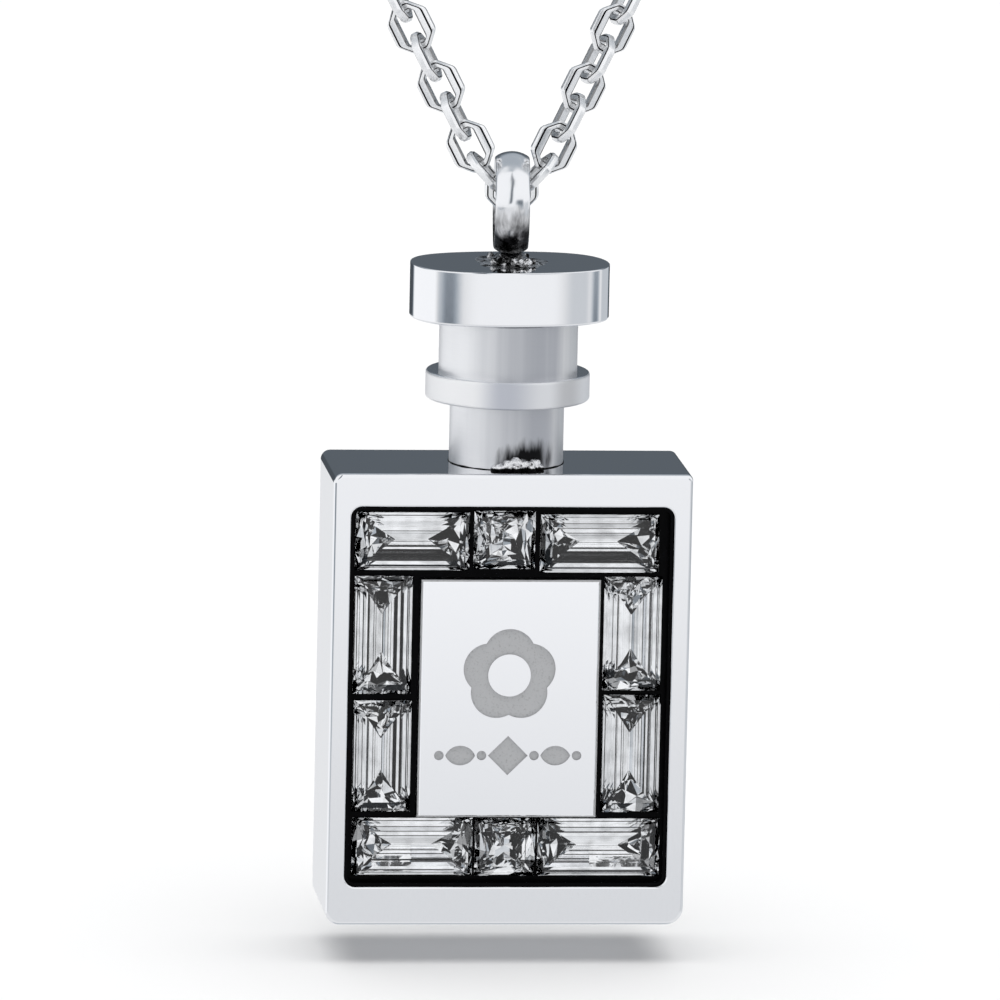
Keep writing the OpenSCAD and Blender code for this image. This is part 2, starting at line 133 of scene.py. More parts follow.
def soften(path, radius, steps=6, hold=0.02):
    """A path with its inner corners made round: each corner gives way to an arc that touches both
    of its sides, with one more point held close beyond each end, so that flat faces shade flat."""
    path = np.asarray(path, float)
    corner = path[1:-1]
    back, on = unit(path[:-2] - corner), unit(path[2:] - corner)
    half = np.arccos(np.clip((back * on).sum(1), -1, 1))[:, None] / 2
    radius = np.broadcast_to(np.asarray(radius, float).reshape(-1, 1), half.shape)
    start, end = corner + back * radius / np.tan(half), corner + on * radius / np.tan(half)
    middle = corner + unit(back + on) * radius / np.sin(half)
    sweep = (np.pi - 2 * half)[:, :, None]
    t = np.linspace(0, 1, steps + 1)[None, :, None]
    arc = middle[:, None] + (
        np.sin((1 - t) * sweep) * (start - middle)[:, None] + np.sin(t * sweep) * (end - middle)[:, None]
    ) / np.sin(sweep)
    held = [(start + back * hold)[:, None], arc, (end + on * hold)[:, None]]
    return np.concatenate([path[:1], np.concatenate(held, 1).reshape(-1, path.shape[1]), path[-1:]])


def skin(rings, first=None, last=None):
    """A closed surface: rings of points joined one to the next, and a point that closes each end.
    Rings is an array of rings by points by 3. Without end points the last ring meets the first."""
    n, m = rings.shape[:2]
    points = [rings.reshape(-1, 3)]
    steps = n if first is None else n - 1
    i, j = np.meshgrid(np.arange(steps), np.arange(m), indexing="ij")
    i2, j2 = (i + 1) % n, (j + 1) % m
    faces = np.stack([i * m + j, i * m + j2, i2 * m + j2, i2 * m + j], -1).reshape(-1, 4).tolist()
    if first is not None:
        j = np.arange(m)
        k = (j + 1) % m
        points += [np.reshape(first, (1, 3)), np.reshape(last, (1, 3))]
        faces += np.stack([k, j, np.full(m, n * m)], 1).tolist()
        faces += np.stack([(n - 1) * m + j, (n - 1) * m + k, np.full(m, n * m + 1)], 1).tolist()
    return np.concatenate(points), faces


def outward(points, faces):
    """The faces, all turned round if the volume that they close comes out negative."""
    tris = np.array([[f[0], f[k], f[k + 1]] for f in faces for k in range(1, len(f) - 1)])
    a, b, c = (points[tris[:, k]] for k in range(3))
    volume = np.einsum("ij,ij->i", a - points.mean(0), np.cross(b - a, c - a)).sum()
    return faces if volume > 0 else [f[::-1] for f in faces]


def lathe(profile, around=96, centre=(0, 0, 0)):
    """A turned surface: each radius and height of the profile becomes a ring about the upright
    axis through centre, and the two ends close on the axis."""
    profile = np.asarray(profile, float)
    a = np.linspace(0, 2 * np.pi, around, endpoint=False)[None, :]
    r, z = profile[:, :1], profile[:, 1:]
    rings = np.stack([r * np.cos(a), r * np.sin(a), z + 0 * a], -1) + centre
    ends = np.array([[0, 0, profile[0, 1]], [0, 0, profile[-1, 1]]]) + centre
    return skin(rings, ends[0], ends[1])


def rounded_outline(half_w, half_h, radii, middle_z, arc=8, hold=0.02):
    """Rectangles with round corners, one for each half width and half height: every corner is an
    arc about its own middle, which lies a radius inside both sides. Radii run from the top right
    corner round by the left. Returns rows by points by (x, z)."""
    signs = np.array([[1, 1], [-1, 1], [-1, -1], [1, -1]])
    a = np.radians(np.arange(4)[:, None] * 90 + np.linspace(0, 90, arc)[None, :])
    a = np.concatenate([a[:, :1], a, a[:, -1:]], 1)
    beyond = np.zeros(arc + 2)
    beyond[[0, -1]] = [-hold, hold]
    out = np.stack([np.cos(a), np.sin(a)], -1)
    along = np.stack([-np.sin(a), np.cos(a)], -1) * beyond[None, :, None]
    half = np.stack(np.broadcast_arrays(half_w, half_h), -1)[:, None]
    radii = np.broadcast_to(radii, (half.shape[0], 4))[..., None]
    middles = (half - radii) * signs
    points = middles[:, :, None] + radii[:, :, None] * out + along
    points[..., 1] += middle_z[:, None, None]
    return points.reshape(points.shape[0], -1, 2)


def bumpy_beads(places, sizes, seed, rough=0.1):
    """Beads of solder: spheres whose radius varies by a few low waves of the two angles."""
    rng = np.random.default_rng(seed)
    n = len(places)
    up = np.linspace(-np.pi / 2, np.pi / 2, 11)[1:-1][None, :, None]
    round_ = np.linspace(0, 2 * np.pi, 16, endpoint=False)[None, None, :]
    phase = rng.uniform(0, 2 * np.pi, (4, n, 1, 1))
    swell = 1 + rough * (
        np.sin(2 * round_ + phase[0]) * np.cos(up) + np.sin(3 * round_ + phase[1]) * np.cos(up) ** 2
        + 0.7 * np.sin(4 * up + phase[2])
    )
    r = sizes[:, None, None] * swell
    shape = np.stack([r * np.cos(up) * np.cos(round_), r * np.cos(up) * np.sin(round_),
                      r * np.sin(up) + 0 * round_], -1) + places[:, None, None]
    poles = np.stack([places - [0, 0, 1] * sizes[:, None], places + [0, 0, 1] * sizes[:, None]])
    return [skin(shape[k], poles[0, k], poles[1, k]) for k in range(n)]


def make_piece(name, parts, finishes, body, replaces=(), sharp=35):
    """Joins closed surfaces in millimetres into one piece, its place in its mesh. Each part is
    (points, faces), and may add a finish's number and a tone, one for all its faces or one each.
    Edges over the sharp angle stay sharp."""
    points, faces, numbers, tones, start = [], [], [], [], 0
    for part in parts:
        p, f = part[0], outward(part[0], part[1])
        points.append(p)
        faces += [[i + start for i in face] for face in f]
        numbers += list(np.broadcast_to(part[2] if len(part) > 2 else 0, len(f)))
        tones += list(np.broadcast_to(part[3] if len(part) > 3 else 1.0, len(f)))
        start += len(p)
    mesh = bpy.data.meshes.new(name)
    mesh.from_pydata((np.concatenate(points) * MM).tolist(), [], faces)
    for material in finishes:
        mesh.materials.append(finish(material))
    mesh.polygons.foreach_set("material_index", np.array(numbers, np.int32))
    mesh.attributes.new("tone", "FLOAT", "FACE").data.foreach_set("value", np.array(tones, np.float32))
    mesh.shade_smooth()
    mesh.set_sharp_from_angle(angle=math.radians(sharp))
    mesh.update()
    mesh.validate()
    piece = bpy.data.objects.new(name, mesh)
    bpy.context.scene.collection.objects.link(piece)
    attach(piece, body)
    if replaces:
        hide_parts(*replaces)
    return piece


# Materials


class Graph:
    """Adds nodes to a tree and joins them. A value may be a socket or a constant."""

    def __init__(self, tree):
        self.tree = tree
        tree.nodes.clear()

    def node(self, kind, **settings):
        made = self.tree.nodes.new(kind)
        for name, value in settings.items():
            setattr(made, name, value)
        return made

    def put(self, socket, value):
        if isinstance(value, bpy.types.NodeSocket):
            self.tree.links.new(value, socket)
        elif isinstance(value, (tuple, list)) and socket.type == "RGBA":
            socket.default_value = (*value[:3], 1)
        else:
            socket.default_value = value

    def filled(self, kind, values, **settings):
        """The outputs of a new node whose inputs, by number or name, are given their values."""
        made = self.node(kind, **settings)
        for key, value in values.items():
            self.put(made.inputs[key], value)
        return made.outputs

    def math(self, operation, *values, clamp=False):
        values = dict(enumerate(values))
        return self.filled("ShaderNodeMath", values, operation=operation, use_clamp=clamp)[0]

    def vector(self, operation, *values):
        return self.filled("ShaderNodeVectorMath", dict(enumerate(values)), operation=operation)[0]

    def scaled(self, vector, factor):
        return self.filled("ShaderNodeVectorMath", {0: vector, "Scale": factor}, operation="SCALE")[0]

    def ramp(self, value, low, high, to_low=0.0, to_high=1.0):
        """A smooth step from one number to the other as the value goes from low to high."""
        values = dict(enumerate((value, low, high, to_low, to_high)))
        return self.filled("ShaderNodeMapRange", values, interpolation_type="SMOOTHSTEP")[0]

    def mix(self, share, a, b):
        """Colour a, going over to b with the share."""
        return self.filled("ShaderNodeMix", {0: share, 6: a, 7: b}, data_type="RGBA")[2]

    def blend(self, share, a, b):
        """Number a, going over to b with the share."""
        return self.filled("ShaderNodeMix", {0: share, 2: a, 3: b}, data_type="FLOAT")[0]

    def noise(self, vector, scale, detail=2.0, roughness=0.5):
        values = {"Vector": vector, "Scale": scale, "Detail": detail, "Roughness": roughness}
        return self.filled("ShaderNodeTexNoise", values)["Fac"]

    def position(self):
        """Place on the piece in millimetres."""
        return self.scaled(self.node("ShaderNodeTexCoord").outputs["Object"], 1 / MM)

    def face_tone(self):
        """The tone that make_piece gives to each face."""
        return self.node("ShaderNodeAttribute", attribute_name="tone").outputs["Fac"]

    def axes(self, vector):
        return self.filled("ShaderNodeSeparateXYZ", {0: vector})

    def bump(self, height, strength, distance):
        values = {"Height": height, "Strength": strength, "Distance": distance}
        return self.filled("ShaderNodeBump", values)["Normal"]

    def shade(self, **values):
        """A Principled BSDF on the material's output. Keys are input names with _ for a space."""
        values = {name.replace("_", " "): value for name, value in values.items()}
        shader = self.filled("ShaderNodeBsdfPrincipled", values)[0]
        self.filled("ShaderNodeOutputMaterial", {"Surface": shader})

    def place(self, name, **values):
        """One use of a node group, with its own values. Returns its outputs."""
        group = bpy.data.node_groups.get(name) or GROUPS[name](name)
        return self.filled("ShaderNodeGroup", values, node_tree=group)


def new_group(name, inputs, outputs):
    """An empty node group. Each input has a default: a number, a vector of three numbers or a
    colour of four. Each output has a kind."""
    tree = bpy.data.node_groups.new(name, "ShaderNodeTree")
    for label, default in inputs.items():
        kind = {1: "Float", 3: "Vector", 4: "Color"}[np.size(default)]
        socket = tree.interface.new_socket(label, in_out="INPUT", socket_type="NodeSocket" + kind)
        socket.default_value = default
    for label, kind in outputs.items():
        tree.interface.new_socket(label, in_out="OUTPUT", socket_type="NodeSocket" + kind)
    graph = Graph(tree)
    return tree, graph, graph.node("NodeGroupInput").outputs, graph.node("NodeGroupOutput").inputs


def build_polish_marks(name):
    """Fine marks of polishing: noise drawn out along a direction moves the roughness, and a broad
    noise and the fine one together give the height."""
    inputs = {"Position": (0, 0, 0), "Stretch": (1, 1, 1), "Scale": 8.0, "Roughness": 0.05,
              "Spread": 0.03, "Wave": 0.5}
    outputs = {"Roughness": "Float", "Height": "Float", "Marks": "Float"}
    tree, g, given, out = new_group(name, inputs, outputs)
    drawn = g.vector("MULTIPLY", given["Position"], given["Stretch"])
    fine = g.noise(drawn, given["Scale"], 4.0, 0.65)
    broad = g.noise(given["Position"], 0.22, 1.0)
    spread = g.math("MULTIPLY", g.math("SUBTRACT", fine, 0.5), given["Spread"])
    g.put(out["Roughness"], g.math("ADD", given["Roughness"], spread, clamp=True))
    g.put(out["Height"], g.math("MULTIPLY_ADD", broad, given["Wave"], fine))
    g.put(out["Marks"], fine)
    return tree


def build_speckle(name):
    """Grains: two noises of unlike size, one pushed to light and dark spots."""
    inputs = {"Position": (0, 0, 0), "Scale": 12.0, "Dark": (0.02, 0.02, 0.02, 1),
              "Light": (0.6, 0.6, 0.6, 1), "Share": 0.5}
    outputs = {"Color": "Color", "Height": "Float", "Spots": "Float"}
    tree, g, given, out = new_group(name, inputs, outputs)
    small = g.noise(given["Position"], given["Scale"], 3.0, 0.7)
    large = g.noise(given["Position"], g.math("MULTIPLY", given["Scale"], 0.27), 1.0)
    both = g.math("MULTIPLY_ADD", large, 0.5, g.math("MULTIPLY", small, 0.5))
    spots = g.ramp(both, g.math("SUBTRACT", given["Share"], 0.08), g.math("ADD", given["Share"], 0.08))
    g.put(out["Color"], g.mix(spots, given["Dark"], given["Light"]))
    g.put(out["Height"], small)
    g.put(out["Spots"], spots)
    return tree


def new_material(name):
    """An empty material and the graph of its nodes."""
    material = bpy.data.materials.new(name)
    material.use_nodes = True
    return material, Graph(material.node_tree)


def finish(name):
    """The material of that name, built the first time that it is asked for. The names differ from
    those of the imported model's own materials."""
    return bpy.data.materials.get(name) or FINISHES[name](name)


def toned(name, *factor):
    """A colour of the settings times a factor, or times one for each channel."""
    return tuple((np.array(getattr(bpy.context.scene.pendant_finishes, name)) * (factor or 1)).tolist())


def build_polished_steel(name):
    """Mirror-polished steel with faint marks and the slow waves of hand polishing."""
    material, g = new_material(name)
    marks = g.place("polish_marks", Position=g.position(), Stretch=(1.0, 1.0, 0.25), Scale=9.0,
                    Roughness=0.05, Spread=0.05, Wave=12.0)
    g.shade(Base_Color=g.mix(marks["Marks"], toned("steel", 0.97), toned("steel")), Metallic=1.0,
            Roughness=marks["Roughness"], Normal=g.bump(marks["Height"], 0.25, 0.0006 * MM))
    return material


def build_scorch_and_painted_reflection(name):
    """An oval dark spot whose rim is frayed by upright streaks of noise: heat darkening on the neck,
    and painted dark reflection on the ring's lower part. It gives 1 in the middle."""
    inputs = {"Position": (0, 0, 0), "Middle": (0, 0, 0), "Reach": (1, 1, 1), "Fray": 0.8}
    tree, g, given, out = new_group(name, inputs, {"Scorch_and_painted_reflection": "Float"})
    away = g.vector("DIVIDE", g.vector("SUBTRACT", given["Position"], given["Middle"]), given["Reach"])
    length = g.filled("ShaderNodeVectorMath", {0: away}, operation="LENGTH")["Value"]
    streaks = g.noise(g.vector("MULTIPLY", given["Position"], (1.0, 1.0, 0.25)), 1.9, 3.0, 0.6)
    frayed = g.math("MULTIPLY_ADD", g.math("SUBTRACT", streaks, 0.5), given["Fray"], length)
    g.put(out["Scorch_and_painted_reflection"], g.ramp(frayed, 0.45, 1.15, 1, 0))
    return tree


def build_ring_steel(name):
    """Polished steel, softly dented, and painted black over its lower part, where it stands in the solder: a
    painted dark reflection.
    """
    material, g = new_material(name)
    place = g.position()
    marks = g.place("polish_marks", Position=place, Scale=6.0, Roughness=0.16, Spread=0.05)
    foot = tuple(on_bottle(0, MID_Y, RING_Z - 2.7).tolist())
    # painted dark reflection: the ring is painted black up from its foot, fading out towards its middle, with
    # frayed upright streaks
    scorch_and_painted_reflection = g.place("scorch_and_painted_reflection", Position=place, Middle=foot, Reach=(9.0, 9.0, 2.7), Fray=1.0)["Scorch_and_painted_reflection"]
    dents = g.noise(g.vector("ADD", place, (0.4, 0.0, 0.0)), 0.75, 1.0)
    g.shade(Base_Color=g.mix(scorch_and_painted_reflection, toned("steel"), (0.01, 0.01, 0.011)), Metallic=1.0,
            Roughness=marks["Roughness"], Normal=g.bump(dents, 1.0, 0.12 * MM))
    return material


def build_collar_steel(name):
    """The collar's milky polish, with painted reflections in soft upright bands across it, and a brighter
    polish on its top.
    """
    material, g = new_material(name)
    place = g.position()
    marks = g.place("polish_marks", Position=place, Stretch=(0.3, 0.3, 2.0), Scale=5.0,
                    Roughness=0.55, Spread=0.06, Wave=1.0)
    x, _, z = g.axes(place)
    # painted reflections in upright bands by x: white at the far left, a dark bluish band left of the middle,
    # light through the middle, a dark band on the right and plain steel at the far right
    tone = (1.0, 1.0, 1.0)
    for start, end, colour in (
        (-2.2, -0.7, toned("steel", 0.7, 0.715, 0.76)),
        (-0.4, 1.4, toned("steel", 0.97)),
        (1.6, 2.6, toned("steel", 0.72)),
        (2.8, 3.8, toned("steel")),
    ):
        tone = g.mix(g.ramp(x, start, end), tone, colour)
    top = bottle_height(COLLAR_Z + COLLAR_RISE)
    on_top = g.ramp(z, top - 0.06, top - 0.01)
    g.shade(Base_Color=g.mix(on_top, tone, toned("steel")), Metallic=1.0,
            Roughness=g.blend(on_top, marks["Roughness"], 0.12),
            Normal=g.bump(marks["Height"], 0.2, 0.001 * MM))
    return material


def build_satin_steel(name):
    """Turned steel: fine rings round the axis as the lathe left it, painted shade that darkens it from
    its left towards its right, wavering in broad soft upright bands, and a scorched spot over the solder in
    front."""
    material, g = new_material(name)
    place = g.position()
    marks = g.place("polish_marks", Position=place, Stretch=(0.12, 0.12, 5.0), Scale=4.0,
                    Roughness=0.46, Spread=0.16, Wave=2.0)
    # painted shade: light on the left, darkest a little right of the middle and somewhat lighter at the right
    # edge; the noise bands waver where it turns
    bands = g.noise(g.vector("MULTIPLY", place, (1.0, 1.0, 0.02)), 1.1, 3.0, 0.6)
    x = g.math("MULTIPLY_ADD", g.math("SUBTRACT", bands, 0.5), 2.2, g.axes(place)["X"])
    tone = g.mix(g.ramp(x, -3.0, 1.3), toned("satin"), toned("satin", 0.5, 0.51, 0.54))
    tone = g.mix(g.ramp(x, 1.5, 2.9), tone, toned("satin", 0.78))
    tone = g.mix(g.math("MULTIPLY", marks["Marks"], 0.2), tone, toned("satin", 0.8))
    spot = tuple(on_bottle(0.75, MID_Y - NECK_RADIUS, NECK_Z + 0.4).tolist())
    scorch_and_painted_reflection = g.place("scorch_and_painted_reflection", Position=place, Middle=spot, Reach=(1.6, 2.0, 1.1), Fray=1.2)["Scorch_and_painted_reflection"]
    g.shade(Base_Color=g.mix(scorch_and_painted_reflection, tone, (0.012, 0.012, 0.013)), Metallic=1.0,
            Roughness=marks["Roughness"], Normal=g.bump(marks["Height"], 0.3, 0.004 * MM))
    return material


def build_chain_steel(name):
    """Bright chain steel, a little darker and rougher in patches, and painted dark stripes beside the
    flats, painted reflections, which the faces' tone marks."""
    material, g = new_material(name)
    marks = g.place("polish_marks", Position=g.position(), Scale=3.0, Roughness=0.22, Spread=0.12, Wave=1.0)
    tone = g.mix(marks["Marks"], (0.86, 0.865, 0.875), (0.97, 0.975, 0.98))
    g.shade(Base_Color=g.mix(g.face_tone(), (0.002, 0.002, 0.003), tone), Metallic=0.8,
            Roughness=marks["Roughness"], Normal=g.bump(marks["Height"], 0.25, 0.006 * MM))
    return material


def build_plate_steel(name):
    """The plate: mirror polish on its face, its steel painted brighter than the block's as a painted
    reflection, and a grey, grained etch in the cuts, told apart by their depth below the block's front."""
    material, g = new_material(name)
    place = g.position()
    depth = g.math("SUBTRACT", g.axes(place)["Y"], float(BODY_LOW[1]))
    etched = g.math("MULTIPLY", g.ramp(depth, 0.17, 0.2), g.ramp(depth, 0.26, 0.27, 1, 0))
    marks = g.place("polish_marks", Position=place, Scale=7.0, Roughness=0.045, Spread=0.04, Wave=12.0)
    grain = g.place("speckle", Position=place, Scale=34.0, Dark=toned("etched", 0.74),
                    Light=toned("etched"), Share=0.4)
    # painted reflection: the plate's steel is 6% brighter than the block's, held at white
    steel = tuple(min(1.0, c) for c in toned("steel", 1.06))
    height = g.blend(etched, g.math("MULTIPLY", marks["Height"], 0.01), grain["Height"])
    g.shade(Base_Color=g.mix(etched, steel, grain["Color"]), Metallic=g.blend(etched, 1.0, 0.35),
            Roughness=g.blend(etched, marks["Roughness"], 0.55), Normal=g.bump(height, 0.4, 0.02 * MM))
    return material


def build_black_enamel(name):
    """Glossy black lining with a soft unevenness and a few dull specks."""
    material, g = new_material(name)
    place = g.position()
    specks = g.place("speckle", Position=place, Scale=5.0, Dark=toned("enamel"),
                     Light=toned("enamel", 3), Share=0.62)
    g.shade(Base_Color=specks["Color"], Roughness=g.ramp(specks["Height"], 0.2, 0.8, 0.12, 0.4),
            Specular_IOR_Level=0.04, Normal=g.bump(g.noise(place, 1.5, 1.0), 0.5, 0.05 * MM))
    return material


def build_clear_stone(name):
    """Clear cut glass with plain transmission and faintly uneven polish."""
    material, g = new_material(name)
    place = g.position()
    g.shade(Base_Color=g.mix(g.noise(place, 1.5), (0.985, 0.988, 0.99), (1.0, 1.0, 1.0)),
            Transmission_Weight=1.0, IOR=1.56, Roughness=g.ramp(g.noise(place, 3.0), 0, 1, 0.0, 0.012))
    return material


def build_foil_back(name):
    """The foil behind a stone, seen through it, each facet with its own painted brightness, a painted
    reflection.
    """
    material, g = new_material(name)
    streaks = g.noise(g.position(), 1.2, 1.0)
    tone = g.math("MULTIPLY", g.face_tone(), g.ramp(streaks, 0.25, 0.6, 0.8, 1.0))
    g.shade(Base_Color=g.mix(tone, (0.0, 0.0, 0.0), (0.99, 0.995, 1.0)), Metallic=1.0, Roughness=0.03)
    return material


def build_solder(name):
    """Scorched solder: black between bright grains, which are fewer on the cap than at the neck,
    and a black seam below them at the neck's foot."""
    material, g = new_material(name)
    place = g.position()
    z = g.axes(place)["Z"]
    seam = bottle_height(NECK_Z)
    share = g.ramp(z, seam + 2, bottle_height(CAP_Z), 0.43, 0.5)
    share = g.math("ADD", share, g.ramp(z, seam + 0.05, seam + 0.2, 0.3, 0.0))
    grain = g.place("speckle", Position=place, Scale=5.0, Dark=(0.006, 0.006, 0.006),
                    Light=(0.9, 0.9, 0.91), Share=share)
    g.shade(Base_Color=grain["Color"], Metallic=1.0, Roughness=g.blend(grain["Spots"], 0.5, 0.16),
            Normal=g.bump(grain["Height"], 0.8, 0.12 * MM))
    return material


def build_floor(name):
    """Plain pale floor with a trace of unevenness."""
    material, g = new_material(name)
    tone = g.mix(g.noise(g.position(), 0.01), toned("floor", 0.995), toned("floor"))
    g.shade(Base_Color=tone, Roughness=0.9)
    return material


GROUPS = {"polish_marks": build_polish_marks, "speckle": build_speckle, "scorch_and_painted_reflection": build_scorch_and_painted_reflection}
FINISHES = {
    "mirror_steel": build_polished_steel,
    "turned_steel": build_satin_steel,
    "collar_steel": build_collar_steel,
    "ring_steel": build_ring_steel,
    "link_steel": build_chain_steel,
    "plate_steel": build_plate_steel,
    "bed_enamel": build_black_enamel,
    "stone_glass": build_clear_stone,
    "foil_back": build_foil_back,
    "solder": build_solder,
    "pale_floor": build_floor,
}


# Pieces


# Heights of the bottle's pieces above the middle of the block, and the depth of their axis
NECK_Z = 11.45
COLLAR_Z = 14.68
UPPER_NECK_Z = 16.08
CAP_Z = 18.78
CAP_TOP_Z = 21.52
RING_Z = 24.525
MID_Y = 4.0

# Sizes of the pieces in millimetres. A rise is a height above the piece's own foot
NECK_RADIUS, NECK_RISE = 2.86, 3.2
SEAM_RADIUS = 2.87
COLLAR_RADIUS, COLLAR_RISE = 4.11, 1.4
UPPER_NECK_RADIUS, UPPER_NECK_RISE = 3.47, 2.67
PEG_RADIUS, INSIDE = 2.0, 2.5
CAP_RISE = 2.74
RECESS_HALF_WIDTH, RECESS_HALF_HEIGHT, RECESS_UP = 8.1, 9.65, 0.15
RECESS_DEPTH, RECESS_CORNER = 2.3, 0.55
BLOCK_CORNERS = (0.3, 0.45, 0.7, 0.85)
RING_RADIUS, RING_HALF_THICKNESS = 5.15 / 2, 0.35


def on_bottle(x, y, z):
    """From the bottle's own frame, whose origin is the middle of the block's front, to the row's."""
    height = bpy.context.scene.pendant_bottle.height / MM
    return np.array([0.0, BODY_LOW[1], BODY_LOW[2] + height / 2]) + [x, y, z]


def bottle_height(z):
    """A height of the bottle's own frame in the row's."""
    return float(on_bottle(0, 0, z)[2])


def block_skin(settings):
    """The block: a rounded rectangle carried along a profile that starts in the middle of the
    recess, climbs its wall, crosses the front, turns over the front edge and the back edge and
    closes in the middle of the back. Corners keep their own radii."""
    half_w, half_h = settings.width / MM / 2, settings.height / MM / 2
    depth = settings.depth / MM
    inner = soften([(-2.0, RECESS_DEPTH), (0.0, RECESS_DEPTH), (0.0, 0.0), (1.0, 0.0)], [0.1, 0.07], 4)[:-1]
    grow, y_in = inner.T
    inner_radii = np.maximum(RECESS_CORNER + grow, 0.05)[:, None]
    a = rounded_outline(
        RECESS_HALF_WIDTH + grow, RECESS_HALF_HEIGHT + grow, inner_radii, RECESS_UP + 0 * grow
    )
    edges = [settings.front_edge / MM, settings.back_edge / MM]
    outer = soften([(1.0, 0.0), (0.0, 0.0), (0.0, depth), (3.0, depth)], edges, 8)[1:]
    inset, y_out = outer.T
    corners = np.array(BLOCK_CORNERS)[None, :]
    change = np.where(y_out > depth / 2, inset, -inset)[:, None]
    b = rounded_outline(half_w - inset, half_h - inset, np.maximum(corners + change, 0.05), 0 * inset)
    rings = np.concatenate([
        np.stack([a[..., 0], y_in[:, None] + 0 * a[..., 0], a[..., 1]], -1),
        np.stack([b[..., 0], y_out[:, None] + 0 * b[..., 0], b[..., 1]], -1),
    ]) + on_bottle(0, 0, 0)
    return skin(rings, on_bottle(0, RECESS_DEPTH, RECESS_UP), on_bottle(0, depth, 0))


POOL_BEADS = np.array([
    # to the right and to the back of the ring's foot, size
    [-0.95, -0.95, 0.17], [-0.62, -1.15, 0.2], [-0.28, -1.05, 0.16], [0.05, -1.3, 0.22], [0.42, -1.12, 0.17],
    [0.74, -1.2, 0.2], [1.02, -0.85, 0.16], [-0.5, -1.62, 0.13], [0.2, -1.75, 0.12], [0.62, -1.7, 0.13],
    [-0.9, 0.9, 0.18], [0.3, 1.15, 0.2], [0.85, 0.8, 0.16],
])


FOOT_BEADS = np.array([
    # angle from the front in degrees, size, height
    [-17, 0.24, 0.05], [-11, 0.3, 0.12], [-4, 0.34, 0.22], [3, 0.3, 0.4], [5, 0.36, 0.1],
    [11, 0.34, 0.28], [17, 0.38, 0.14], [23, 0.3, 0.3], [28, 0.26, 0.08],
])


def neck_skin(radius, inner_radius, rise, z, around):
    """A turned neck that starts a little below z: a straight side with one softened edge at its
    foot and one on top."""
    sunk = -0.3
    profile = [(inner_radius, sunk), (radius, sunk), (radius, rise), (inner_radius, rise)]
    return lathe(soften(profile, [0.02, 0.05], 4, 0.01), around, on_bottle(0, MID_Y, z))


def beads_round_neck():
    """Beads of solder set round the foot of the lower neck."""
    angle, size, up = np.radians(FOOT_BEADS[:, 0]), FOOT_BEADS[:, 1], FOOT_BEADS[:, 2]
    out = NECK_RADIUS + 0.05
    places = np.stack([out * np.sin(angle), MID_Y - out * np.cos(angle), NECK_Z + up], 1)
    return bumpy_beads(places + on_bottle(0, 0, 0), size, seed=5, rough=0.12)


def beads_on_cap():
    """Beads of solder strewn round the ring's foot."""
    places = np.column_stack([POOL_BEADS[:, :2], 0.35 * POOL_BEADS[:, 2] + 0.12])
    return bumpy_beads(places + on_bottle(0, MID_Y, CAP_TOP_Z), POOL_BEADS[:, 2], seed=8, rough=0.14)


def seam_round_neck():
    """The dark seam at the neck's foot: a thin round bead carried round the neck, its thickness
    waving with the angle."""
    a = np.linspace(0, 2 * np.pi, 128, endpoint=False)[:, None]
    t = np.linspace(0, 2 * np.pi, 8, endpoint=False)[None, :]
    thick = 0.045 + 0.01 * np.sin(7 * a + 1) + 0.008 * np.sin(17 * a)
    r = SEAM_RADIUS + thick * np.cos(t)
    rings = np.stack([r * np.cos(a), r * np.sin(a), thick * np.sin(t) + 0 * a], -1)
    return skin(rings + on_bottle(0, MID_Y, NECK_Z))


def cap_outline(a):
    """Distance of the cap's side from its axis: the soft minimum of a circle and of two gentle arcs
    across the front and the back."""
    radius, flat_out, flat_r, power = 5.0, 3.67, 15.0, 8
    across = np.abs(np.sin(a))
    far = flat_r - flat_out
    arc = -far * across + np.sqrt(np.maximum(flat_r**2 - (far * np.cos(a)) ** 2, 0))
    return (radius**-power + arc**-power) ** (-1 / power)


def cap_skin():
    """The cap: its outline carried up a profile with round edges, and closed below and on top."""
    profile = soften([(3.0, 0.0), (0.0, 0.0), (0.0, CAP_RISE), (3.0, CAP_RISE)], [0.12, 0.05], 6)
    a = np.linspace(0, 2 * np.pi, 192, endpoint=False)[None, :]
    r = cap_outline(a) - profile[:, :1]
    rings = np.stack([r * np.cos(a + CAP_TURN), r * np.sin(a + CAP_TURN), profile[:, 1:] + 0 * a], -1)
    at = on_bottle(0, MID_Y, CAP_Z)
    return skin(rings + at, at, at + [0, 0, CAP_RISE])


def ring_skin(settings):
    """The bail ring: a band's section, domed inside and out, carried round a circle. Across the
    band the section runs as a sine, and its thickness as a cosine thinned towards the edges."""
    half_w, half_t = settings.ring_width / MM / 2, RING_HALF_THICKNESS
    middle_r = RING_RADIUS - half_t
    t = np.linspace(0, 2 * np.pi, 36, endpoint=False)[None, :]
    a = np.linspace(0, 2 * np.pi, 144, endpoint=False)[:, None]
    r = middle_r + half_t * np.cos(t) * (0.74 + 0.26 * np.cos(t) ** 2)
    x = half_w * np.sin(t) + 0 * a
    rings = np.stack([x, r * np.cos(a), r * np.sin(a)], -1)
    return skin(rings @ turn(2, RING_TURN).T + on_bottle(0, MID_Y, RING_Z))


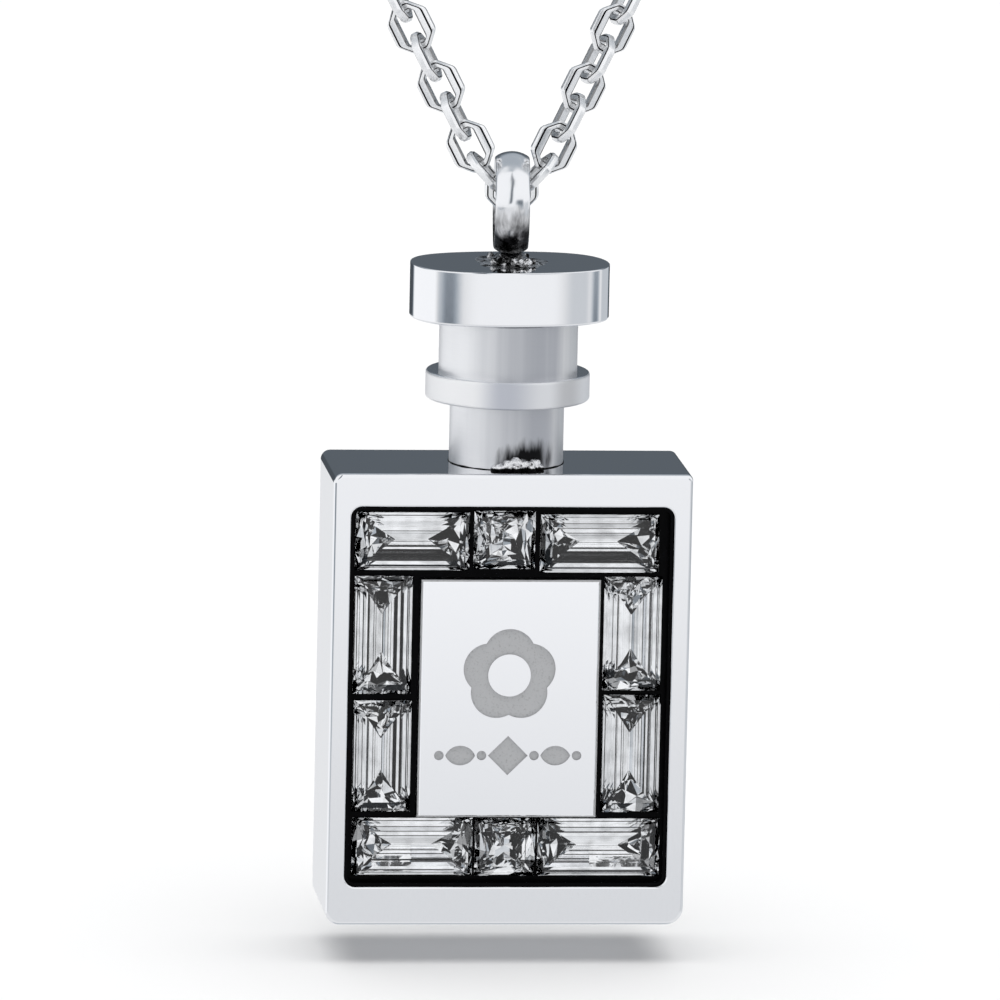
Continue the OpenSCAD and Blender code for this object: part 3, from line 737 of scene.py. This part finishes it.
def solder_pool():
    """The pool of solder on the cap: a low heap over an oval whose rim waves with the angle, raised
    by lumps that fall off with the square of the distance."""
    rng = np.random.default_rng(11)
    a = np.linspace(0, 2 * np.pi, 96, endpoint=False)[None, :]
    s = np.array([0.06, 0.14, 0.22, 0.3, 0.38, 0.46, 0.54, 0.62, 0.7, 0.78, 0.85, 0.91, 0.96, 1.0])[:, None]
    half_x, half_y, sink, lump_count = 1.75, 2.4, 0.12, 40
    rim = 1 + 0.07 * np.sin(3 * a + 0.6) + 0.05 * np.sin(5 * a + 2.1) + 0.03 * np.sin(9 * a)
    x, y = half_x * s * rim * np.cos(a), half_y * s * rim * np.sin(a)
    height = 0.48 * np.exp(-((x / 0.8) ** 4) - (y / 0.75) ** 4) + 0.07 * (1 - s**6)
    lumps = rng.uniform([-1.5, -2.1, 0.01, 0.1], [1.5, 2.1, 0.09, 0.24], (lump_count, 4))
    lumps[0] = [1.25, -0.7, 0.2, 0.3]
    for px, py, rise, width in lumps:
        height = height + rise * (1 - s**4) * np.exp(-((x - px) ** 2 + (y - py) ** 2) / width**2)
    at = on_bottle(0, MID_Y, CAP_TOP_Z)
    rings = np.stack([x, y, height + 0 * a], -1)
    sunk = rings[-1:] * [0.98, 0.98, 0] - [0, 0, sink]
    top = np.array([0, 0, rings[0, :, 2].mean()])
    return skin(np.concatenate([rings, sunk]) + at, at + top, at - [0, 0, sink])


STONES = (
    "stone_top_left", "stone_top_middle", "stone_top_right", "stone_left_upper", "stone_left_lower",
    "stone_right_upper", "stone_right_lower", "stone_bottom_left", "stone_bottom_middle",
    "stone_bottom_right",
)
STONE_STEPS = np.array([
    # inset as a share of the width, depth as a share, further inset at the ends, 1 on a thin facet
    [0.19, 0.0, 0.0, 0], [0.08, 0.12, 0.0, 0], [0.0, 0.28, 0.0, 0], [0.0, 0.33, 0.0, 0],
    [0.11, 0.49, 0.03, 0], [0.14, 0.53, 0.04, 1], [0.24, 0.68, 0.07, 0], [0.265, 0.71, 0.08, 1],
    [0.38, 0.86, 0.14, 0], [0.49, 0.99, 0.2, 0],
])
CROWN_ROWS = 3
BROKEN_EDGE = np.array([-1, -0.45, 0.05, 0.5, 1.0])
SQUARE_BELOW = 1.3
STRAY_SHARE = 0.3


def stone_skin(low, high, seed):
    """A step-cut stone in the box of its CAD node: rounds of points that step in with depth down to
    a keel, with e edges at each end and p along each side. Its ends, and all sides of a square
    stone, break up into small triangles whose points stray a little. Every facet of the foiled back
    gets its own painted brightness: painted reflections, bright on most long facets, often dark on
    the thin ones and mixed on the end triangles."""
    low, high = np.array(low) / MM, np.array(high) / MM
    size, middle = high - low, (high + low) / 2
    wide = size[0] > size[2]
    length, width = (size[0], size[2]) if wide else (size[2], size[0])
    rng = np.random.default_rng(seed)
    inset, down, ends, thin = STONE_STEPS.T
    broken = BROKEN_EDGE
    plain = broken if length < SQUARE_BELOW * width else broken[[0, -1]]
    e, p = len(broken) - 1, len(plain) - 1
    u = np.concatenate([np.ones(e), plain[::-1][:-1], -np.ones(e), plain[:-1]])
    v = np.concatenate([broken[:-1], np.ones(p), -broken[:-1], -np.ones(p)])
    is_end = np.concatenate([np.ones(e), np.zeros(p)] * 2) > 0
    inner = np.concatenate([np.arange(e) > 0, np.arange(p) > 0] * 2)
    half_u = length / 2 - (inset + ends) * width
    half_v = width / 2 - inset * width
    stray = rng.uniform(-1, 1, (3, len(inset), len(u))) * inner
    stray = stray * (np.arange(len(inset)) > CROWN_ROWS)[:, None]
    stray *= (np.minimum(half_u, half_v) / width)[:, None] * STRAY_SHARE
    points_u = half_u[:, None] * u + stray[0] * width
    points_v = half_v[:, None] * v + stray[1] * width
    points_d = down[:, None] * size[1] - np.abs(stray[2]) * STRAY_SHARE * size[1]
    across, along = (points_v, points_u) if wide else (points_u, points_v)
    rings = np.stack([along, points_d, across], -1) + [middle[0], low[1], middle[2]]
    n, m = rings.shape[:2]
    table, keel = rings[0].mean(0), rings[-1].mean(0)
    i, j = np.meshgrid(np.arange(n - 1), np.arange(m), indexing="ij")
    a, b, c, d = i * m + j, i * m + (j + 1) % m, (i + 1) * m + (j + 1) % m, (i + 1) * m + j
    whole = ~(is_end | (p > 1))[j]
    flip = (i + j) % 2 == 0
    quads = np.stack([a, b, c, d], -1)[whole]
    one = np.where(flip[..., None], np.stack([a, b, c], -1), np.stack([a, b, d], -1))[~whole]
    two = np.where(flip[..., None], np.stack([a, c, d], -1), np.stack([b, c, d], -1))[~whole]
    k = np.arange(m)
    caps = [np.stack([(k + 1) % m, k, 0 * k + n * m], 1),
            np.stack([(n - 1) * m + k, (n - 1) * m + (k + 1) % m, 0 * k + n * m + 1], 1)]
    faces = quads.tolist() + one.tolist() + two.tolist() + caps[0].tolist() + caps[1].tolist()
    rows = np.concatenate([i[whole], i[~whole], i[~whole], np.zeros(m, int), np.full(m, n - 1)])
    foil = (rows >= CROWN_ROWS).astype(int)
    # painted reflections: each facet of the foil gets its brightness, bright on long facets, mostly dark on
    # the thin ones and mixed on the end triangles
    bands = rng.choice([1.0, 0.95, 0.8], len(quads), p=[0.6, 0.3, 0.1])
    painted_thin_facets = rng.choice([0.01, 0.3, 0.9], len(quads), p=[0.55, 0.2, 0.25])
    bands = np.where(thin[i[whole] + 1] > 0, painted_thin_facets, bands)
    painted_end_bits = rng.choice([0.01, 0.1, 0.35, 0.65, 0.95, 1.0], 2 * len(one), p=[0.1, 0.04, 0.08, 0.1, 0.2, 0.48])
    tone = np.concatenate([bands, painted_end_bits, np.ones(2 * m)])
    return np.concatenate([rings.reshape(-1, 3), [table], [keel]]), faces, foil, tone


# Chain


# How the strands lean and their links turn, and the link's and the clasp's sizes in millimetres
LEAN_OUT, LEAN_BACK = math.radians(27), math.radians(10.9)
FIRST_LEAN_OUT, FIRST_LEAN_BACK = math.radians(43.5), math.radians(5)
FIRST_OUT, FIRST_SLACK, LINK_ROLL = 0.5, 0.06, math.radians(18)
LINK_END, LINK_SIDE, LINK_CUT, LINK_HOLE_CUT, LINK_GAP = 0.46, 0.58, 0.75, 0.15, 0.12
# painted reflections: the brightness of each face round a fine link's section, black on the faces just
# outside the flats and dark grey on those towards the hole
PAINTED_STRIPE_TONES = np.array([0.3, 1, 0, 1, 1, 1, 0, 1, 0.3, 1])
CLASP_HALF, CLASP_REACH = 5.0, 0.7
LOOK_AHEAD, ROLL_FADE = 0.5, 12
ROUTE = np.array([
    # points on the right side of the neck, from the front links to the clasp
    [22.2, -107.5, -85.7],
    [40.4, -100, -52],
    [48, -89, -27],
    [55, -78, -12],
    [58, -62, -2],
    [57, -45, 3],
    [51, -29, 4],
    [39, -14, 3],
    [22, -4, 1],
    [0, 0, 0],
])


def cut_rectangle(w, h, c):
    """Rectangle with its corners cut off, as corners by (x, z)."""
    x, z, a, b = w / 2, h / 2, w / 2 - c, h / 2 - c
    return np.array([[a, z], [x, b], [x, -b], [a, -z], [-a, -z], [-x, -b], [-x, b], [-a, z]])


def eased(corners, reach):
    """Each corner of a closed outline made into three points: one on each side and one between."""
    back, on = np.roll(corners, 1, 0) - corners, np.roll(corners, -1, 0) - corners
    a, b = corners + unit(back) * reach, corners + unit(on) * reach
    return np.stack([a, (a + b) / 4 + corners / 2, b], 1).reshape(-1, 2)


def link_rings(settings, fine):
    """One link round the origin, its length along Z and its face to the front: the section of its
    metal, with cut corners, carried from the opening's outline to the outer one and round it."""
    w, h, t = (v / MM for v in (settings.link_width, settings.link_length, settings.link_thickness))
    outer = cut_rectangle(w, h, LINK_CUT)
    inner = cut_rectangle(w - 2 * LINK_SIDE, h - 2 * LINK_END, LINK_HOLE_CUT)
    if fine:
        outer, inner = eased(outer, 0.14), eased(inner, 0.06)
        half = np.array([
            # share of the way outwards, height in millimetres below the flat
            [0, 0.07], [0.13, 0], [0.6, 0], [0.76, 0.02], [1, 0.13],
        ])
        upper = half * [1, -1 / t] + [0, 0.5]
        section = np.concatenate([upper, upper[::-1] * [1, -1]])
    else:
        section = np.array([[0.0, 0.5], [1.0, 0.5], [1.0, -0.5], [0.0, -0.5]])
    share, y = section[:, :1], section[:, 1:] * t
    flat = inner[:, None] * (1 - share) + outer[:, None] * share
    return np.stack([flat[..., 0], np.broadcast_to(y.T, flat.shape[:2]), flat[..., 1]], -1)


def lean(out, back):
    """Unit vector that leans outwards and backwards from upright."""
    return np.array([math.cos(back) * math.sin(out), math.sin(back), math.cos(back) * math.cos(out)])


def link_numbers(settings):
    """Distance from a link's middle to the middle of the metal at its end, and from link to link."""
    reach = (settings.link_length / MM - LINK_END) / 2
    return reach, 2 * reach - LINK_END - LINK_GAP


def strand_places(settings, side):
    """Middles and turns of one strand's links. The first leans by itself from the middle link, and
    the rest follow each other along one line, every other one edge on."""
    reach, pitch = link_numbers(settings)
    k = np.arange(1, settings.front_links + 1)
    ring = turn(2, RING_TURN)
    mirror = np.array([side, 1, 1])
    first = ring @ (lean(FIRST_LEAN_OUT, FIRST_LEAN_BACK) * mirror)
    along = lean(LEAN_OUT, LEAN_BACK) * mirror
    bar = ring @ np.array([side * FIRST_OUT, 0, 0])
    second_bar = bar + first * (pitch - FIRST_SLACK)
    middles = second_bar + along * (reach + pitch * (k[:, None] - 2))
    middles[0] = bar + first * reach
    roll = side * LINK_ROLL * np.minimum(k, 3) / 3 + np.where(k % 2 == 1, np.pi / 2, 0)
    out = np.where(k == 1, FIRST_LEAN_OUT, LEAN_OUT)
    back = np.where(k == 1, FIRST_LEAN_BACK, LEAN_BACK)
    yaw = np.where(k == 1, RING_TURN, 0.0)
    turns = turn(2, yaw) @ turn(1, side * out) @ turn(0, -back) @ turn(2, roll)
    return middles + HANG_POINT, turns, along


def route_curve(settings, side):
    """The hidden stretch's line: a smooth cubic through each four points of the route in turn, and
    at last straight into the clasp."""
    middles, _, along = strand_places(settings, side)
    start = middles[-1] + along * (settings.link_length / MM / 2 + LINK_GAP)
    p = np.concatenate([[start], ROUTE * [side, 1, 1]])
    p = np.concatenate([[2 * p[0] - p[1]], p, [p[-2] * [-1, 1, 1]]])
    t = np.linspace(0, 1, 24, endpoint=False)[None, :, None]
    a, b, c, d = p[:-3, None], p[1:-2, None], p[2:-1, None], p[3:, None]
    curve = (2 * b + (c - a) * t + (2 * a - 5 * b + 4 * c - d) * t**2 + (3 * b - a - 3 * c + d) * t**3) / 2
    curve = curve.reshape(-1, 3)
    curve = curve[side * curve[:, 0] > CLASP_HALF + 0.3]
    return np.concatenate([curve, [[side * (CLASP_HALF + 0.1), 0, 0]]])


def hidden_places(settings, side):
    """Middles and turns of the hidden links, spaced evenly along the route. Each stands on the
    route's line, turned from the level by the strand's own turn, which fades out."""
    reach, pitch = link_numbers(settings)
    curve = route_curve(settings, side)
    run = np.concatenate([[0], np.cumsum(np.linalg.norm(np.diff(curve, axis=0), axis=1))])
    half = settings.link_length / MM / 2
    first = pitch - half - LINK_GAP
    last = run[-1] + CLASP_REACH - half
    count = int(round((last - first) / pitch)) + 1
    s = np.linspace(first, last, count)

    def on_curve(distance):
        return np.stack([np.interp(distance, run, curve[:, k]) for k in range(3)], 1)

    z = unit(on_curve(s + LOOK_AHEAD) - on_curve(np.maximum(s - LOOK_AHEAD, 0)))
    across = unit(np.cross(z, [0.0, 0.0, 1.0]) * -1)
    _, turns, _ = strand_places(settings, side)
    face = turns[-1][:, 1]
    start = math.atan2(-(face @ np.cross(across[0], z[0])), face @ across[0])
    k = np.arange(count) + settings.front_links + 1
    roll = start * np.exp(-s / ROLL_FADE) + np.where(k % 2 == 1, np.pi / 2, 0)
    base = np.stack([np.cross(across, z), across, z], -1)
    return on_curve(s), base @ turn(2, roll)


def set_links(rings, middles, turns):
    """The link's surface at each place. The faces beside a fine link's flats get painted dark stripes,
    painted reflections.
    """
    placed = np.einsum("nij,uvj->nuvi", turns, rings) + middles[:, None, None]
    fine = rings.shape[1] == len(PAINTED_STRIPE_TONES)
    painted_edge_stripes = PAINTED_STRIPE_TONES if fine else np.ones(rings.shape[1])
    return [(*skin(p), 0, np.tile(painted_edge_stripes, rings.shape[0])) for p in placed]


def clasp_skin():
    """The clasp: a barrel about X with a groove near each end, a seam in its middle, round rims and
    a bore at each end for the last link."""
    r, end = 1.7, CLASP_HALF
    half = [(0.0, 3.4), (1.12, 3.4), (1.12, end), (r, end), (r, 4.05), (1.4, 4.05), (1.4, 3.55),
            (r, 3.55), (r, 0.09), (1.62, 0.09)]
    path = np.array(half + [(a, -b) for a, b in half[::-1]])
    radii = [0.05, 0.15, 0.25, 0.08, 0.06, 0.06, 0.08, 0.05, 0.03]
    path = soften(path[::-1], radii + radii[::-1], 4, 0.01)
    points, faces = lathe(path[1:-1], 64)
    return points[:, [2, 0, 1]], faces


# Operators


class PENDANT_OT_bottle_body(bpy.types.Operator):
    """Builds the block, the lower neck and the solder at its foot"""

    bl_idname = "pendant.bottle_body"
    bl_label = "Bottle Body"

    def execute(self, context):
        make_piece("bottle_block", [block_skin(context.scene.pendant_bottle)], ["mirror_steel"],
                   "pendant", ["bottle_body"])
        make_piece("lower_neck", [neck_skin(NECK_RADIUS, PEG_RADIUS, NECK_RISE, NECK_Z, 96)],
                   ["turned_steel"], "pendant")
        make_piece("neck_solder", beads_round_neck() + [seam_round_neck()], ["solder"], "pendant",
                   sharp=80)
        return {"FINISHED"}


class PENDANT_OT_neck_collar(bpy.types.Operator):
    """Builds the collar and the upper neck"""

    bl_idname = "pendant.neck_collar"
    bl_label = "Neck and Collar"

    def execute(self, context):
        collar = [(INSIDE, 0), (COLLAR_RADIUS, 0), (COLLAR_RADIUS, COLLAR_RISE), (INSIDE, COLLAR_RISE)]
        collar = lathe(soften(collar, [0.15, 0.15], 6), 128, on_bottle(0, MID_Y, COLLAR_Z))
        make_piece("collar", [collar], ["collar_steel"], "pendant", ["neck_collar"])
        make_piece("upper_neck", [neck_skin(UPPER_NECK_RADIUS, INSIDE, UPPER_NECK_RISE, UPPER_NECK_Z, 112)],
                   ["turned_steel"], "pendant")
        return {"FINISHED"}


class PENDANT_OT_cap(bpy.types.Operator):
    """Builds the cap, the bail ring and the solder that holds it"""

    bl_idname = "pendant.cap"
    bl_label = "Cap and Bail Ring"

    def execute(self, context):
        make_piece("cap", [cap_skin()], ["mirror_steel"], "pendant", ["cap_with_bail"])
        make_piece("bail_ring", [ring_skin(context.scene.pendant_bottle)], ["ring_steel"],
                   "pendant", sharp=60)
        make_piece("ring_solder", [solder_pool()] + beads_on_cap(), ["solder"], "pendant",
                   sharp=80)
        return {"FINISHED"}


class PENDANT_OT_setting(bpy.types.Operator):
    """Gives the black bed and the engraved plate their finishes"""

    bl_idname = "pendant.setting"
    bl_label = "Bed and Plate"

    def execute(self, context):
        for node, material in (("enamel_bed", "bed_enamel"), ("centre_plate", "plate_steel")):
            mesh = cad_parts[node].data
            mesh.materials.clear()
            mesh.materials.append(finish(material))
        return {"FINISHED"}


class PENDANT_OT_stones(bpy.types.Operator):
    """Builds the ten step-cut stones"""

    bl_idname = "pendant.stones"
    bl_label = "Stones"

    def execute(self, context):
        for seed, node in enumerate(STONES):
            make_piece(node.replace("stone_", "gem_"), [stone_skin(*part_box(node), seed)],
                       ["stone_glass", "foil_back"], "pendant", [node], sharp=1)
        return {"FINISHED"}


class PENDANT_OT_chain_front(bpy.types.Operator):
    """Builds the middle link and the links that the front view shows"""

    bl_idname = "pendant.chain_front"
    bl_label = "Front of the Chain"

    def execute(self, context):
        settings = context.scene.pendant_chain
        rings = link_rings(settings, fine=True)
        middle = (turn(2, RING_TURN) @ turn(1, np.pi / 2))[None]
        parts = set_links(rings, HANG_POINT[None], middle)
        for side in (-1, 1):
            middles, turns, _ = strand_places(settings, side)
            parts += set_links(rings, middles, turns)
        make_piece("front_links", parts, ["link_steel"], "chain", ["chain_front"], sharp=28)
        return {"FINISHED"}


class PENDANT_OT_chain_rest(bpy.types.Operator):
    """Builds the links of the hidden stretch round the neck"""

    bl_idname = "pendant.chain_rest"
    bl_label = "Rest of the Chain"

    def execute(self, context):
        settings = context.scene.pendant_chain
        rings = link_rings(settings, fine=False)
        parts = []
        for side in (-1, 1):
            parts += set_links(rings, *hidden_places(settings, side))
        make_piece("hidden_links", parts, ["link_steel"], "chain", ["chain_rest"], sharp=28)
        return {"FINISHED"}


class PENDANT_OT_clasp(bpy.types.Operator):
    """Builds the clasp's barrel"""

    bl_idname = "pendant.clasp"
    bl_label = "Clasp"

    def execute(self, context):
        make_piece("clasp_barrel", [clasp_skin()], ["link_steel"], "chain", ["clasp"])
        return {"FINISHED"}


def camera_place():
    """Where the camera stands and how it is turned: it looks down a little from the left of the
    front, and leans by a degree."""
    az, el, roll = (math.radians(v) for v in (6.335, 9.8, -1.267))
    target, distance = on_bottle(-0.689, 0, 10.164), 600.0
    ahead = np.array([math.sin(az) * math.cos(el), math.cos(az) * math.cos(el), -math.sin(el)])
    right = np.array([math.cos(az), -math.sin(az), 0.0])
    up = np.cross(right, ahead)
    x = math.cos(roll) * right - math.sin(roll) * up
    y = math.sin(roll) * right + math.cos(roll) * up
    matrix = np.eye(4)
    matrix[:3, :3] = np.stack([x, y, -ahead], 1)
    matrix[:3, 3] = (target - distance * ahead) * MM
    return matrix


def build_studio(world):
    """The studio by direction, in degrees: az from the front round to the right, el up from the
    level. Shares laid over each other give its brightness: pale walls below the level with dark
    strips that the cap's side mirrors, a white overhead with a dark slit, darkness behind above the
    level, and a dark spot that the ring mirrors. The camera sees plain white, and diffuse light is
    even."""
    world.use_nodes = True
    g = Graph(world.node_tree)
    way = g.axes(g.node("ShaderNodeTexCoord").outputs["Generated"])
    az = g.math("DEGREES", g.math("ARCTAN2", way["X"], g.math("MULTIPLY", way["Y"], -1.0)))
    el = g.math("DEGREES", g.math("ARCSINE", way["Z"]))
    azimuth = g.math("ABSOLUTE", az)

    def band(value, low, high, soft):
        """1 between low and high, with soft ends, and 0 beyond them."""
        rise = g.ramp(value, low - soft, low + soft)
        return g.math("MULTIPLY", rise, g.ramp(value, high - soft, high + soft, 1, 0))

    def both(a, b):
        return g.math("MULTIPLY", a, b)

    strip = band(el, -10.7, -8.3, 1.5)
    level = g.ramp(el, -12.0, -9.5, 0.77, 0.98)
    for share, strength in (
        # walls and strips from the front to the right, then to the left, then straight behind
        (band(az, 40, 76, 10), 0.66),
        (both(strip, band(az, 82, 104, 9)), 0.08),
        (band(az, 112, 190, 6), 0.6),
        (both(strip, g.ramp(az, -50, -8, 0.8, 0)), 0.32),
        (both(strip, band(az, -62, -34, 10)), 0.14),
        (band(az, -190, -76, 8), 1.05),
        (g.ramp(azimuth, 146, 156), g.ramp(el, -9.65, -9.35, 0.84, 0.08)),
    ):
        level = g.blend(share, level, strength)
    # the overhead with its slit, and the dark behind
    above = g.blend(band(az, -16, -3, 4), 1.0, 0.1)
    above = g.blend(g.ramp(azimuth, 95, 120), above, g.ramp(el, 18, 32, 0.125, 0.45))
    light = g.blend(g.ramp(el, 0, 5), level, above)
    # the spot in front on the right, and two greys towards straight down
    light = g.blend(both(band(el, -5, 10, 4), band(az, 15, 36, 5)), light, 0.16)
    light = g.blend(g.ramp(el, -24, -16), 0.85, light)
    light = g.blend(g.ramp(el, -78, -60), 0.5, light)
    cool = g.mix(g.ramp(light, 0.1, 0.9), (0.84, 0.98, 1.14), (0.97, 0.98, 1.0))
    studio = g.filled("ShaderNodeBackground", {"Color": cool, "Strength": light})[0]
    rays = g.node("ShaderNodeLightPath").outputs
    even = g.blend(rays["Is Camera Ray"], 0.3, 1.08)
    plain = g.filled("ShaderNodeBackground", {"Color": (1.0, 1.0, 1.0), "Strength": even})[0]
    is_plain = g.math("MAXIMUM", rays["Is Camera Ray"], rays["Is Diffuse Ray"])
    mixed = g.filled("ShaderNodeMixShader", {0: is_plain, 1: studio, 2: plain})[0]
    g.filled("ShaderNodeOutputWorld", {"Surface": mixed})


FLOOR_REACH, FLOOR_CELLS, FLOOR_DROP = 3000, 12, 2.0
LENS, SENSOR = 434.13, 36.0


class PENDANT_OT_stage(bpy.types.Operator):
    """Builds the floor, the studio light and the camera"""

    bl_idname = "pendant.stage"
    bl_label = "Stage"

    def execute(self, context):
        scene = context.scene
        scene.view_settings.view_transform = "Standard"
        scene.world = bpy.data.worlds.new("studio")
        build_studio(scene.world)

        side = np.linspace(-FLOOR_REACH, FLOOR_REACH, FLOOR_CELLS + 1)
        a, b = np.meshgrid(side, side, indexing="ij")
        points = np.stack([a, b, np.full_like(a, BODY_LOW[2] - FLOOR_DROP)], -1).reshape(-1, 3) * MM
        i, j = np.meshgrid(np.arange(FLOOR_CELLS), np.arange(FLOOR_CELLS), indexing="ij")
        k = (i * len(side) + j).reshape(-1)
        mesh = bpy.data.meshes.new("floor")
        faces = np.stack([k, k + len(side), k + len(side) + 1, k + 1], 1)
        mesh.from_pydata(points.tolist(), [], faces.tolist())
        mesh.materials.append(finish("pale_floor"))
        floor = bpy.data.objects.new("floor", mesh)
        floor.visible_glossy = floor.visible_transmission = False
        scene.collection.objects.link(floor)

        key = bpy.data.lights.new("overhead", "SUN")
        key.angle, key.energy = math.radians(80), 2.6
        overhead = bpy.data.objects.new("overhead", key)
        overhead.visible_camera = overhead.visible_glossy = overhead.visible_transmission = False
        scene.collection.objects.link(overhead)

        lens = bpy.data.cameras.new("camera")
        lens.sensor_width, lens.lens = SENSOR, LENS
        lens.clip_start, lens.clip_end = 0.01, 20
        camera = bpy.data.objects.new("camera", lens)
        camera.matrix_world = Matrix(camera_place().tolist())
        scene.collection.objects.link(camera)
        scene.camera = camera
        return {"FINISHED"}


class PENDANT_PT_pieces(bpy.types.Panel):
    """Lists the pieces and the settings of the pendant"""

    bl_idname = "PENDANT_PT_pieces"
    bl_label = "Bottle Pendant"
    bl_space_type = "VIEW_3D"
    bl_region_type = "UI"
    bl_category = "Pendant"

    def draw(self, context):
        for operator in OPERATORS:
            self.layout.operator(operator.bl_idname)
        for settings in SETTINGS:
            box = self.layout.box()
            for name in getattr(context.scene, settings).__annotations__:
                box.prop(getattr(context.scene, settings), name)


SETTINGS = {
    "pendant_bottle": BottleSettings,
    "pendant_chain": ChainSettings,
    "pendant_finishes": FinishSettings,
}
OPERATORS = (
    PENDANT_OT_bottle_body,
    PENDANT_OT_neck_collar,
    PENDANT_OT_cap,
    PENDANT_OT_setting,
    PENDANT_OT_stones,
    PENDANT_OT_chain_front,
    PENDANT_OT_chain_rest,
    PENDANT_OT_clasp,
    PENDANT_OT_stage,
)


def register():
    for cls in (*SETTINGS.values(), *OPERATORS, PENDANT_PT_pieces):
        bpy.utils.register_class(cls)
    for name, cls in SETTINGS.items():
        setattr(bpy.types.Scene, name, PointerProperty(type=cls))


def unregister():
    for name in SETTINGS:
        delattr(bpy.types.Scene, name)
    for cls in reversed((*SETTINGS.values(), *OPERATORS, PENDANT_PT_pieces)):
        bpy.utils.unregister_class(cls)


def main():
    register()
    bpy.ops.pendant.bottle_body()
    bpy.ops.pendant.neck_collar()
    bpy.ops.pendant.cap()
    bpy.ops.pendant.setting()
    bpy.ops.pendant.stones()
    bpy.ops.pendant.chain_front()
    bpy.ops.pendant.chain_rest()
    bpy.ops.pendant.clasp()
    bpy.ops.pendant.stage()


if __name__ == "__main__":
    main()
